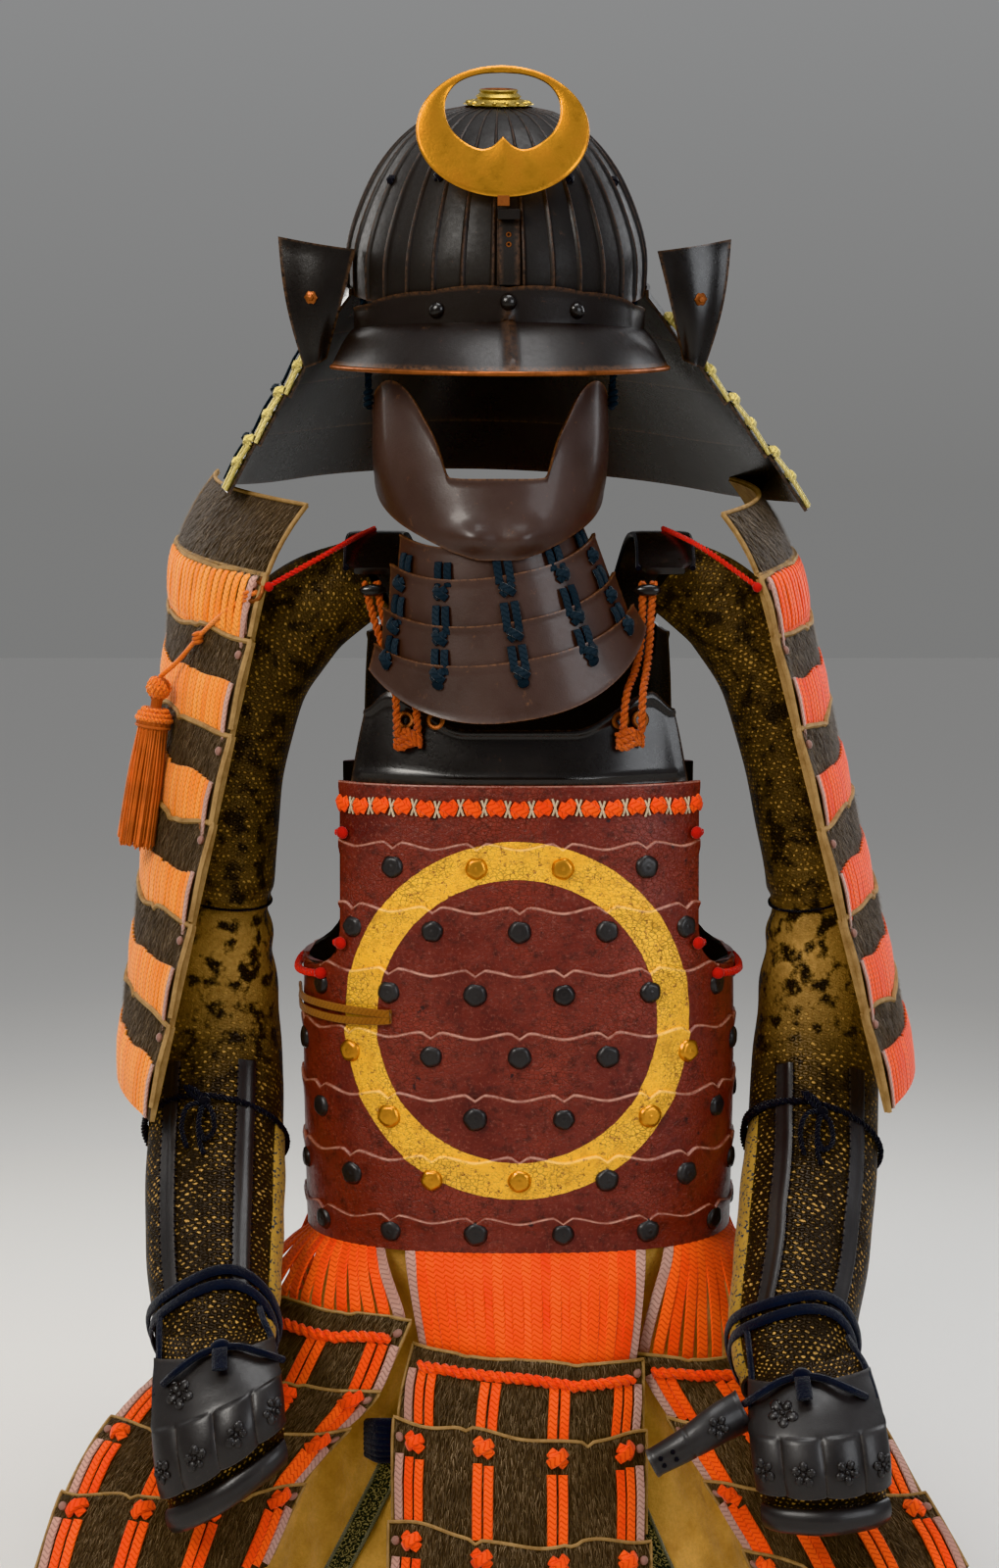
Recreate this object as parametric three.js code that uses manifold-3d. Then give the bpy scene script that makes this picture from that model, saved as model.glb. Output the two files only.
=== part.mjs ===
// Samurai armour in its worn shape with nobody inside: ribbed helmet with crest and neck guard, half mask
// with throat guard, leather-faced cuirass, furred shoulder guards and tassets hung on lacing, mail sleeves
// with plated hand guards, and a thigh guard. Millimetres, +Z up, front towards -Y.
// The origin is between the two shoulder straps, where the wearer's shoulders hold the armour up.
import * as THREE from 'three';
import Module from 'manifold-3d';
import { mergeVertices } from 'three/addons/utils/BufferGeometryUtils.js';

const wasm = await Module();
wasm.setup();

const rad = THREE.MathUtils.degToRad;

// Driving dimensions
const LACQUER_WALL = 2.2;
const FUR_WALL = 4;
const CLOTH_WALL = 2.5;
const SEAM_GAP = 0.4;
const CORD_RADIUS = 2.6;

const HEAD = { x: -19, y: 0, yaw: 4 };
const HELMET = { y: -5, z: 200, tilt: 11, ribs: 32, rib: 2.4, lengthShare: 1.13 };
const VISOR = { halfAngle: 70, edgeWidth: 142, edgeLength: 190, edgeDrop: 36, endDrop: 14 };
const CREST = { halfWidth: 66, halfHeight: 50, thickness: 2, lean: 18, y: -110, z: 134 };
const NECK_GUARD = { lames: 4, pitch: 41, height: 47, step: 3.2, widthFlare: 0.64, lengthFlare: 0.38 };
const THROAT_ROLL = 8.5;
const THROAT_ARC = rad(66);
const CHEST = { halfWidth: 143, bottom: -189.6, bead: 3.2 };
const CUIRASS = { top: -190, hem: -564, rowPitch: 50, rows: 8, step: 2.2, wall: 3, armholeFloor: -342 };
const SCALLOP = { spacing: 70, shoulder: 7, height: 5 };
const TASSET = { step: 3, bend: 0.6, depths: [0, 50, 118, 186, 250], halfWidth: 82 };
const SHOULDER_GUARD = { width: 254, bend: 0.42, step: 3.4, depths: [0, 50, 124, 201, 280, 358, 443] };
const GUARDS = {
  left: { side: -1, x: -270, y: 22, z: -14, azimuth: -68, twist: -14, lean: 8.7 },
  right: { side: 1, x: 226, y: 22, z: -14, azimuth: 84, twist: 0, lean: 14 },
};
const GUARD_TOP = { height: { left: 63.4, right: 55.6 }, lean: 30 };

// Shape tables, each row a section or place, with named columns
const TORSO = [
  { z: -564, width: 176, front: 128, back: 112 },
  { z: -440, width: 178, front: 130, back: 118 },
  { z: -350, width: 177, front: 132, back: 123 },
  { z: -260, width: 172, front: 131, back: 124 },
  { z: -190, width: 168, front: 128, back: 122 },
  { z: -117, width: 165, front: 118, back: 116 },
  { z: -60, width: 160, front: 108, back: 108 },
];
const BOWL = [
  { h: 0, side: 119.5 },
  { h: 36, side: 118.9 },
  { h: 72, side: 107.5 },
  { h: 104, side: 90 },
  { h: 128, side: 68 },
  { h: 142, side: 42 },
  { h: 146, side: 19 },
];
const MASK_EDGE = [
  { angle: 0, top: 48, bottom: -14 },
  { angle: 10, top: 48, bottom: -14 },
  { angle: 18, top: 48.5, bottom: -12 },
  { angle: 22.5, top: 51, bottom: -10 },
  { angle: 25, top: 64, bottom: -9 },
  { angle: 28, top: 78, bottom: -8 },
  { angle: 33, top: 92, bottom: -5 },
  { angle: 41, top: 110, bottom: 0 },
  { angle: 50, top: 121, bottom: 6 },
  { angle: 60, top: 125, bottom: 13 },
  { angle: 72, top: 122, bottom: 22 },
  { angle: 86, top: 112, bottom: 34 },
  { angle: 100, top: 92, bottom: 52 },
];
const MASK_SECTION = [
  { z: -14, width: 62, front: 90 },
  { z: 0, width: 74, front: 97 },
  { z: 17, width: 84, front: 94 },
  { z: 48, width: 92, front: 88 },
  { z: 80, width: 94, front: 82 },
  { z: 125, width: 92, front: 62 },
];
const THROAT_LAMES = [
  { top: -2, bottom: -33, wTop: 70, wBottom: 77, fTop: 91.8, fBottom: 94.8, rise: 30, endRise: 32 },
  { top: -26, bottom: -68, wTop: 81, wBottom: 89, fTop: 97, fBottom: 100.2, rise: 34, endRise: 38 },
  { top: -62, bottom: -99, wTop: 92, wBottom: 99, fTop: 102.5, fBottom: 105.2, rise: 40, endRise: 44 },
  { top: -92, bottom: -138, wTop: 103, wBottom: 111, fTop: 107.4, fBottom: 110.8, rise: 45, endRise: 90 },
];
// The front tassets, each row the middle of a lame's top edge and the last row the bottom edge
const FRONT_TASSETS = [
  {
    name: 'front',
    from: -27,
    to: 31,
    rows: [
      { k: 0, x: 7, y: -158, z: -642, azimuth: 0, half: 96, roll: 4 },
      { k: 1, x: 1, y: -180, z: -695, azimuth: 0, half: 104, roll: 4.5 },
      { k: 2, x: 0, y: -206, z: -770, azimuth: 0, half: 107, roll: 4.5 },
      { k: 3, x: 0, y: -228, z: -842, azimuth: 0, half: 110, roll: 4 },
      { k: 4, x: 0, y: -248, z: -909, azimuth: 0, half: 112, roll: 3 },
    ],
  },
  {
    name: 'front_left',
    from: -82,
    to: -31,
    rows: [
      { k: 0, x: -168, y: -116, z: -608, azimuth: -34, half: 88, roll: 3 },
      { k: 1, x: -204, y: -138, z: -666, azimuth: -22, half: 96, roll: 1 },
      { k: 2, x: -232, y: -172, z: -697, azimuth: -6, half: 101, roll: 0 },
      { k: 3, x: -259, y: -212, z: -734, azimuth: 4, half: 98, roll: 0 },
      { k: 4, x: -280, y: -256, z: -788, azimuth: 8, half: 97, roll: 0 },
    ],
  },
  {
    name: 'front_right',
    from: 35,
    to: 84,
    rows: [
      { k: 0, x: 176, y: -118.2, z: -652, azimuth: 16, half: 88, roll: 3 },
      { k: 1, x: 205, y: -149, z: -698, azimuth: 6, half: 90, roll: 3 },
      { k: 2, x: 230, y: -188, z: -742, azimuth: -4, half: 91, roll: 3 },
      { k: 3, x: 257, y: -232, z: -784, azimuth: -8, half: 92, roll: 2 },
      { k: 4, x: 280, y: -274, z: -836, azimuth: -10, half: 93, roll: 0 },
    ],
  },
];
// The side and back tassets hang straight; azimuth and flare in degrees
const PLAIN_TASSETS = [
  { name: 'side_left', azimuth: -106, from: -129, to: -93, flare: 20, drop: 68 },
  { name: 'side_right', azimuth: 108, from: 95, to: 131, flare: 20, drop: 68 },
  { name: 'back_left', azimuth: -155, from: -176, to: -134, flare: 13, drop: 76 },
  { name: 'back_right', azimuth: 155, from: 134, to: 176, flare: 13, drop: 76 },
];
const SLEEVES = {
  left: [
    { k: 0, x: -121, y: 4, z: -28.3, across: 32, deep: 40 },
    { k: 1, x: -178, y: 6, z: -62, across: 42, deep: 52 },
    { k: 2, x: -214, y: 8, z: -112, across: 42, deep: 54 },
    { k: 3, x: -233, y: 10, z: -190, across: 39, deep: 50 },
    { k: 4, x: -240, y: 12, z: -280, across: 37, deep: 46 },
    { k: 5, x: -243, y: 14, z: -300, across: 35, deep: 44 },
    { k: 6, x: -249, y: 18, z: -350, across: 45, deep: 50 },
    { k: 7, x: -252, y: 14, z: -425, across: 54, deep: 54 },
    { k: 8, x: -250, y: -32, z: -492, across: 56, deep: 52 },
    { k: 9, x: -245, y: -100, z: -553, across: 55, deep: 50 },
    { k: 10, x: -239, y: -158, z: -602, across: 50, deep: 45 },
    { k: 11, x: -235, y: -198, z: -634, across: 42, deep: 37 },
  ],
  right: [
    { k: 0, x: 121, y: 4, z: -26.2, across: 32, deep: 40 },
    { k: 1, x: 172, y: 6, z: -62, across: 39, deep: 52 },
    { k: 2, x: 201, y: 8, z: -112, across: 36, deep: 54 },
    { k: 3, x: 224, y: 10, z: -190, across: 36, deep: 50 },
    { k: 4, x: 241, y: 12, z: -280, across: 35, deep: 46 },
    { k: 5, x: 245, y: 14, z: -300, across: 34, deep: 44 },
    { k: 6, x: 249, y: 18, z: -350, across: 44, deep: 50 },
    { k: 7, x: 249, y: 14, z: -425, across: 52, deep: 54 },
    { k: 8, x: 242, y: -32, z: -498, across: 54, deep: 52 },
    { k: 9, x: 228, y: -100, z: -564, across: 54, deep: 50 },
    { k: 10, x: 215, y: -158, z: -617, across: 50, deep: 45 },
    { k: 11, x: 213, y: -198, z: -652, across: 42, deep: 37 },
  ],
};
const HAND_PROFILE = [
  { v: 0, out: 0, down: 0, half: 41 },
  { v: 1, out: 24, down: 15, half: 46 },
  { v: 2, out: 46, down: 36, half: 49 },
  { v: 3, out: 59, down: 60, half: 50 },
  { v: 4, out: 61, down: 78, half: 49 },
  { v: 5, out: 55, down: 88, half: 48 },
  { v: 6, out: 52, down: 95, half: 47 },
  { v: 7, out: 55, down: 106, half: 46 },
  { v: 8, out: 45, down: 118, half: 44 },
];
const HANDS = {
  left: { wrist: [-234, -224, -602], turn: -7, slant: 0.5 },
  right: { wrist: [219, -228, -621], turn: -6, slant: -0.06 },
};
const THIGH = [
  { z: -880, width: 262, front: 188 },
  { z: -800, width: 232, front: 166 },
  { z: -740, width: 208, front: 145 },
  { z: -670, width: 184, front: 124 },
  { z: -600, width: 168, front: 115 },
  { z: -564, width: 171.2, front: 123.9 },
  { z: -540, width: 171.2, front: 123.9 },
];

const mix = THREE.MathUtils.lerp;
const point = (x, y, z) => new THREE.Vector3(x, y, z);
const steps = (from, to, count) => Array.from({ length: count + 1 }, (_, k) => mix(from, to, k / count));
const smooth = (t) => THREE.MathUtils.smoothstep(t, 0, 1);

// One column of a table at a place between its rows, on a smooth curve through them
function along(table, key, column, at) {
  const last = table.length - 1;
  let k = 0;
  while (k < last - 1 && at > table[k + 1][key]) k++;
  const [a, b] = [table[k], table[k + 1]];
  const before = table[Math.max(0, k - 1)];
  const after = table[Math.min(last, k + 2)];
  const span = b[key] - a[key];
  const t = THREE.MathUtils.clamp((at - a[key]) / span, 0, 1);
  const slopeA = ((b[column] - before[column]) / (b[key] - before[key])) * span;
  const slopeB = ((after[column] - a[column]) / (after[key] - a[key])) * span;
  const [t2, t3] = [t * t, t * t * t];
  return (
    (2 * t3 - 3 * t2 + 1) * a[column] +
    (t3 - 2 * t2 + t) * slopeA +
    (3 * t2 - 2 * t3) * b[column] +
    (t3 - t2) * slopeB
  );
}

// A point on a squared-off ring: angle 0 is the front (-Y) and grows towards +X
function ring(angle, width, front, back, squareness) {
  const [s, c] = [Math.sin(angle), Math.cos(angle)];
  const power = 2 / squareness;
  const depth = c > 0 ? front : back;
  return { x: width * Math.sign(s) * Math.abs(s) ** power, y: -depth * Math.sign(c) * Math.abs(c) ** power };
}

// Joins two edges of a wall by triangles. Each edge is a list of [vertex, place along the edge].
function joinEdges(faces, a, b, reversed) {
  let [i, j] = [0, 0];
  while (i < a.length - 1 || j < b.length - 1) {
    const stepA = j === b.length - 1 || (i < a.length - 1 && a[i + 1][1] <= b[j + 1][1] + 1e-9);
    const face = stepA ? [a[i][0], a[i + 1][0], b[j][0]] : [a[i][0], b[j + 1][0], b[j][0]];
    if (reversed) face.reverse();
    faces.push(face);
    if (stepA) i++;
    else j++;
  }
}

// The unit normal of a surface, along du x dv
function normalOf(face, u, v) {
  const e = 1e-4;
  const du = face(u + e, v).sub(face(u - e, v));
  return du.cross(face(u, v + e).sub(face(u, v - e))).normalize();
}

// A closed wall: face(u, v) is its outer face, relief raises points of that face, and the plain inside is
// thickness behind it. The outside is where du x dv points, or the other way with flip.
function wall(face, { columns, rows, innerColumns, innerRows, thickness, relief, loop, flip }) {
  const vertices = [];
  const faces = [];
  const layer = (us, vs, lift) => {
    const kept = loop ? us.slice(0, -1) : us;
    const grid = kept.map((u) =>
      vs.map((v) => {
        const p = face(u, v).addScaledVector(normalOf(face, u, v), flip ? -lift(u, v) : lift(u, v));
        vertices.push(p.x, p.y, p.z);
        return vertices.length / 3 - 1;
      }),
    );
    if (loop) grid.push(grid[0]);
    return grid;
  };
  const skin = (grid, reversed) => {
    for (let i = 0; i < grid.length - 1; i++)
      for (let j = 0; j < grid[i].length - 1; j++) {
        const [a, b, c, d] = [grid[i][j], grid[i + 1][j], grid[i + 1][j + 1], grid[i][j + 1]];
        for (const f of [[a, b, c], [a, c, d]]) faces.push(reversed ? f.reverse() : f);
      }
  };
  const [inU, inV] = [innerColumns ?? columns, innerRows ?? rows];
  const outer = layer(columns, rows, relief ?? (() => 0));
  const inner = layer(inU, inV, () => -thickness);
  skin(outer, Boolean(flip));
  skin(inner, !flip);
  const lineV = (grid, us, j) => us.map((u, i) => [grid[i].at(j), u]);
  const lineU = (grid, vs, i) => vs.map((v, j) => [grid.at(i)[j], v]);
  joinEdges(faces, lineV(outer, columns, 0), lineV(inner, inU, 0), !flip);
  joinEdges(faces, lineV(outer, columns, -1), lineV(inner, inU, -1), Boolean(flip));
  if (!loop) {
    joinEdges(faces, lineU(outer, rows, 0), lineU(inner, inV, 0), Boolean(flip));
    joinEdges(faces, lineU(outer, rows, -1), lineU(inner, inV, -1), !flip);
  }
  const geometry = new THREE.BufferGeometry();
  geometry.setAttribute('position', new THREE.Float32BufferAttribute(vertices, 3));
  geometry.setIndex(faces.flat());
  return geometry;
}

// A round cord along a smooth curve through the points
function cord(points, radius, sides = 8, count = points.length * 4) {
  const section = new THREE.Shape(
    steps(0, 2 * Math.PI, sides)
      .slice(0, -1)
      .map((a) => new THREE.Vector2(radius * Math.cos(a), radius * Math.sin(a))),
  );
  const extrudePath = new THREE.CatmullRomCurve3(points, false, 'centripetal');
  return new THREE.ExtrudeGeometry(section, { extrudePath, steps: count, bevelEnabled: false });
}

// A geometry as a manifold-3d solid, and back
function solidOf(geometry) {
  const plain = geometry.clone();
  for (const name of Object.keys(plain.attributes)) if (name !== 'position') plain.deleteAttribute(name);
  const merged = mergeVertices(plain, 1e-4);
  return new wasm.Manifold(
    new wasm.Mesh({
      numProp: 3,
      vertProperties: merged.attributes.position.array,
      triVerts: new Uint32Array(merged.index.array),
    }),
  );
}
function geometryOf(solid) {
  const mesh = solid.getMesh();
  const geometry = new THREE.BufferGeometry();
  geometry.setAttribute('position', new THREE.Float32BufferAttribute(mesh.vertProperties, 3));
  geometry.setIndex(new THREE.Uint32BufferAttribute(mesh.triVerts, 1));
  return geometry;
}

const finish = (color, roughness, metalness = 0) =>
  new THREE.MeshStandardMaterial({ color, roughness, metalness, flatShading: true });
const MATERIAL = {
  lacquer: finish('#1b1614', 0.35, 0.3),
  russet: finish('#3a2624', 0.4, 0.3),
  leather: finish('#5d1a12', 0.55),
  brass: finish('#b3721f', 0.35, 0.9),
  fur: finish('#4a3a2a', 0.95),
  orangeLace: finish('#f0481c', 0.8),
  redLace: finish('#c4241a', 0.8),
  navyLace: finish('#27384a', 0.85),
  rustCord: finish('#b5461c', 0.85),
  mail: finish('#2b231a', 0.7, 0.3),
  handGuard: finish('#222226', 0.45, 0.2),
  tanCloth: finish('#b07a35', 0.95),
};

const armour = new THREE.Group();
function add(name, geometry, material, group = armour) {
  const mesh = new THREE.Mesh(geometry, material);
  mesh.name = name;
  group.add(mesh);
  return mesh;
}
const SIDES = [
  { name: 'left', sign: -1 },
  { name: 'right', sign: 1 },
];

const head = new THREE.Group();
head.position.set(HEAD.x, HEAD.y, 0);
head.rotation.z = rad(HEAD.yaw);
armour.add(head);

// Helmet

const helmet = new THREE.Group();
helmet.position.set(0, HELMET.y, HELMET.z);
helmet.rotation.x = rad(HELMET.tilt);
head.add(helmet);

function bowlPoint(angle, h) {
  const side = along(BOWL, 'h', 'side', h);
  return point(side * Math.sin(angle), -side * HELMET.lengthShare * Math.cos(angle), h);
}

function helmetBowl() {
  const ribStep = (2 * Math.PI) / HELMET.ribs;
  const ribSpread = rad(1.3);
  const columns = [];
  for (let k = 0; k < HELMET.ribs; k++) {
    const middle = (k + 0.5) * ribStep;
    columns.push(middle - ribSpread, middle, middle + ribSpread);
  }
  columns.push(columns[0] + 2 * Math.PI);
  const relief = (u, h) => {
    const place = Math.abs((((u / ribStep) % 1) + 1) % 1 - 0.5) * ribStep;
    const fade = smooth((h + 6) / 12) * mix(1, 0.35, smooth((h - 90) / 50));
    return HELMET.rib * fade * Math.max(0, 1 - place / ribSpread);
  };
  return wall(bowlPoint, {
    columns,
    rows: BOWL.map((row) => row.h),
    innerColumns: steps(columns[0], columns.at(-1), 20),
    innerRows: [0, 31, 80, 123, 146],
    thickness: 2,
    relief,
    loop: true,
  });
}
add('helmet_bowl', helmetBowl(), MATERIAL.lacquer, helmet);

function topFitting() {
  const profile = [
    [27, 147.1],
    [27, 148.6],
    [19, 150.6],
    [17.5, 154],
    [15, 159],
    [11, 159],
    [10.5, 149],
    [22, 147.3],
    [27, 147.1],
  ];
  const geometry = new THREE.LatheGeometry(
    profile.map(([r, h]) => new THREE.Vector2(r, h)),
    18,
  );
  return geometry.rotateX(Math.PI / 2);
}
add('helmet_top_fitting', topFitting(), MATERIAL.brass, helmet);

// The visor: a band on the bowl's brow (v from 0 to 0.4), then a brim that flares out to the rim at v = 1
function visorPoint(angle, v) {
  const aside = (1 - Math.cos(angle)) / (1 - Math.cos(rad(VISOR.halfAngle)));
  const top = 20 - 30 * aside;
  const bend = -6 - 18 * aside;
  const rim = -VISOR.edgeDrop - VISOR.endDrop * aside;
  const stand = { width: 123.3, length: 139.4 };
  if (v <= 0.4) {
    return point(stand.width * Math.sin(angle), -stand.length * Math.cos(angle), mix(top, bend, v / 0.4));
  }
  const out = (v - 0.4) / 0.6;
  return point(
    mix(stand.width, VISOR.edgeWidth, out ** 0.9) * Math.sin(angle),
    -mix(stand.length, VISOR.edgeLength, out ** 0.9) * Math.cos(angle),
    mix(bend, rim, out ** 1.3),
  );
}
const visorColumns = steps(-rad(VISOR.halfAngle), rad(VISOR.halfAngle), 20);
add(
  'visor',
  wall(visorPoint, {
    columns: visorColumns,
    rows: [0, 0.38, 0.44, 0.62, 0.82, 1],
    innerRows: [0, 0.38, 0.44, 1],
    thickness: 2,
    flip: true,
    relief: (u, v) => (v > 0.4 && Math.abs(u) < 0.01 ? 2 : 0),
  }),
  MATERIAL.lacquer,
  helmet,
);

function visorRim() {
  const radius = 2.1;
  const route = visorColumns.map((u) => {
    const p = visorPoint(u, 1);
    return point(p.x * 1.008, p.y * 1.008, p.z - radius - 0.7);
  });
  return cord(route, radius, 6, 24);
}
add('visor_rim', visorRim(), MATERIAL.brass, helmet);

// The crest's holder: a strip up the brow plate, and the socket that takes the crest's tongue
function crestHolder() {
  const width = 17;
  const front = (h) => -along(BOWL, 'h', 'side', h) * HELMET.lengthShare;
  const heights = steps(24, 70, 4);
  const back = heights.map((h) => new THREE.Vector2(front(h) - 0.7, h));
  const face = heights.map((h) => new THREE.Vector2(front(h) - 3.2, h));
  const socket = [
    new THREE.Vector2(front(77.4) - 0.7, 77.4),
    new THREE.Vector2(-133, 77.4),
    new THREE.Vector2(-133, 70),
  ];
  const outline = [...back, ...socket, ...face.slice(0, -1).reverse()];
  const settings = { depth: width, bevelEnabled: false };
  const geometry = new THREE.ExtrudeGeometry(new THREE.Shape(outline), settings);
  // The outline is drawn in Y and Z and pushed out along X
  const place = new THREE.Matrix4().makeBasis(point(0, 1, 0), point(0, 0, 1), point(1, 0, 0));
  return geometry.translate(0, 0, -width / 2).applyMatrix4(place);
}
add('crest_holder', crestHolder(), MATERIAL.lacquer, helmet);

// The crest: a brass ring, heavier below, whose opening has a point at its foot
function crest() {
  const { halfWidth, halfHeight, thickness } = CREST;
  const outline = new THREE.Shape();
  outline.absellipse(0, 0, halfWidth, halfHeight, 0, 2 * Math.PI);
  const opening = new THREE.Path();
  opening.moveTo(0, -4);
  opening.bezierCurveTo(6, -14, 15, -16, 26, -10);
  opening.bezierCurveTo(46, 2, 50, 27, 29, 40);
  opening.bezierCurveTo(15, 48, -15, 48, -29, 40);
  opening.bezierCurveTo(-50, 27, -46, 2, -26, -10);
  opening.bezierCurveTo(-15, -16, -6, -14, 0, -4);
  outline.holes.push(opening);
  const settings = { depth: thickness, bevelEnabled: false, curveSegments: 8 };
  const plate = new THREE.ExtrudeGeometry(outline, settings);
  const tongue = new THREE.BoxGeometry(9, 12, thickness).translate(0, -halfHeight - 3, thickness / 2);
  return geometryOf(solidOf(plate).add(solidOf(tongue)));
}
const crestPlate = add('crest', crest(), MATERIAL.brass, helmet);
crestPlate.position.set(-4, CREST.y, CREST.z);
crestPlate.rotation.x = rad(90 - CREST.lean);

// The laced lames hang a little to one side, and lower at the back
function settle(p) {
  const below = Math.max(0, -12 - p.z);
  const back = smooth((p.y + 40) / 180);
  return point(p.x + 0.12 * below, p.y, p.z - 0.14 * below * back - 0.0002 * below * p.x);
}

function neckLame(index) {
  const { pitch, height, step, widthFlare, lengthFlare } = NECK_GUARD;
  const top = index ? -index * pitch + 6 : 6;
  const bottom = top - height - (index ? 0 : 2);
  const halfArc = rad(106 - index);
  const fitted = (h) => (index ? 0 : smooth((h + 12) / 18));
  const face = (angle, h) => {
    const width = mix(127 + step * index - widthFlare * h, 123.9, fitted(h));
    const length = mix(141 + step * index - lengthFlare * h, 139.3, fitted(h));
    return settle(point(width * Math.sin(angle), length * Math.cos(angle), h));
  };
  return wall(face, {
    columns: [-halfArc, ...steps(-rad(100), rad(100), 20), halfArc],
    rows: index ? [bottom, top] : [bottom, -12, top],
    thickness: LACQUER_WALL,
    flip: true,
  });
}
for (let k = 0; k < NECK_GUARD.lames; k++) add(`neck_lame_${k + 1}`, neckLame(k), MATERIAL.lacquer, helmet);

// The turned-back wings at the ends of the top neck lame
function turnback(sign) {
  const corners = {
    innerTop: point(119.5, -49, 38),
    outerTop: point(180, -33, 46),
    outerBottom: point(160, -45, -56),
    innerBottom: point(143, -47, -48),
  };
  const face = (u, v) => {
    const top = corners.innerTop.clone().lerp(corners.outerTop, u);
    const bottom = corners.innerBottom.clone().lerp(corners.outerBottom, u);
    const p = bottom.lerp(top, v);
    const bulge = Math.sin(Math.PI * u) * 6 + Math.sin(Math.PI * v) * 4;
    p.y -= bulge;
    p.x += Math.sin(Math.PI * v) * 4 * u;
    return point(p.x * sign + 5, p.y, p.z);
  };
  return wall(face, { columns: steps(0, 1, 5), rows: steps(0, 1, 5), thickness: 2.2, flip: sign < 0 });
}
for (const { name, sign } of SIDES) add(`turnback_${name}`, turnback(sign), MATERIAL.lacquer, helmet);

// Mask and throat guard

const face = new THREE.Group();
face.position.x = -8;
head.add(face);

const MASK_CENTRE = -56;
function maskPoint(degrees, v) {
  const size = Math.abs(degrees);
  const z = mix(along(MASK_EDGE, 'angle', 'bottom', size), along(MASK_EDGE, 'angle', 'top', size), v);
  const width = along(MASK_SECTION, 'z', 'width', z);
  const front = along(MASK_SECTION, 'z', 'front', z);
  const p = ring(rad(degrees), width, front, front, 2.2);
  const chin = 6 * Math.exp(-(((z - 3) / 11) ** 2) - ((size - 13) / 11) ** 2);
  return point(p.x, MASK_CENTRE + p.y - chin, z);
}
const maskAngles = MASK_EDGE.map((row) => row.angle);
const maskColumns = [...maskAngles.slice(1).reverse().map((a) => -a), ...maskAngles];
add(
  'mask',
  wall(maskPoint, { columns: maskColumns, rows: [0, 0.2, 0.5, 1], thickness: LACQUER_WALL }),
  MATERIAL.russet,
  face,
);

const throat = new THREE.Group();
const THROAT_PIVOT = -50;
throat.position.set(-9, THROAT_PIVOT, -4);
throat.rotation.y = -rad(THROAT_ROLL);
head.add(throat);

function throatLame({ top, bottom, wTop, wBottom, fTop, fBottom, rise, endRise }) {
  const face = (angle, v) => {
    const p = ring(angle, mix(wBottom, wTop, v) * 1.08, mix(fBottom, fTop, v), 60, 2.3);
    const lift = mix(endRise, rise, v) * (1 - Math.cos(angle));
    return point(p.x, p.y, mix(bottom, top, v) + 4 + lift);
  };
  return wall(face, { columns: steps(-THROAT_ARC, THROAT_ARC, 16), rows: [0, 1], thickness: 2 });
}
THROAT_LAMES.forEach((row, k) => add(`throat_lame_${k + 1}`, throatLame(row), MATERIAL.russet, throat));

// Navy cords that hang the mask from the inside of the helmet's brow
for (const { name, sign } of SIDES) {
  const route = [
    point(sign * 96.2 - 8, -62, 104),
    point(sign * 97 - 8, -60, 124),
    point(sign * 99 - 5, -55, 150),
    point(sign * 105.6 - 0.6, -47, 175),
    point(sign * 108.7, -42, 192),
  ];
  add(`mask_tie_${name}`, cord(route, CORD_RADIUS, 6, 10), MATERIAL.navyLace, head);
}

// Cuirass

const TORSO_SQUARENESS = 2.6;
function torsoPoint(angle, z) {
  const [width, front, back] = ['width', 'front', 'back'].map((column) => along(TORSO, 'z', column, z));
  const p = ring(angle, width, front, back, TORSO_SQUARENESS);
  return point(p.x, p.y, z);
}

// Angles at even distances round the body at mid height, from a distance in mm along its surface
const GIRTH = (() => {
  const middle = -377;
  const samples = [{ angle: 0, distance: 0 }];
  let last = torsoPoint(0, middle);
  for (const angle of steps(0, Math.PI, 720).slice(1)) {
    const p = torsoPoint(angle, middle);
    samples.push({ angle, distance: samples.at(-1).distance + p.distanceTo(last) });
    last = p;
  }
  return samples;
})();
function angleAt(distance) {
  const size = Math.abs(distance);
  if (size > HALF_GIRTH) return Math.sign(distance) * (2 * Math.PI - angleAt(2 * HALF_GIRTH - size));
  const k = Math.max(1, GIRTH.findIndex((sample) => sample.distance >= size));
  const [a, b] = [GIRTH[k - 1], GIRTH[k]];
  return Math.sign(distance) * mix(a.angle, b.angle, (size - a.distance) / (b.distance - a.distance));
}
const SIDE_SEAM = GIRTH.find((sample) => sample.angle >= Math.PI / 2).distance;
const HALF_GIRTH = GIRTH.at(-1).distance;

// The wavy top edge of a lame, with a small V over each rivet
function scallop(distance, row) {
  const { spacing, shoulder, height } = SCALLOP;
  const shifted = distance / spacing + (row % 2 ? 0.5 : 0);
  const from = Math.abs(shifted - Math.round(shifted)) * spacing;
  if (from < shoulder) return (height * from) / shoulder;
  return height * (1 - smooth((from - shoulder) / (spacing / 2 - shoulder)));
}

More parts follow.
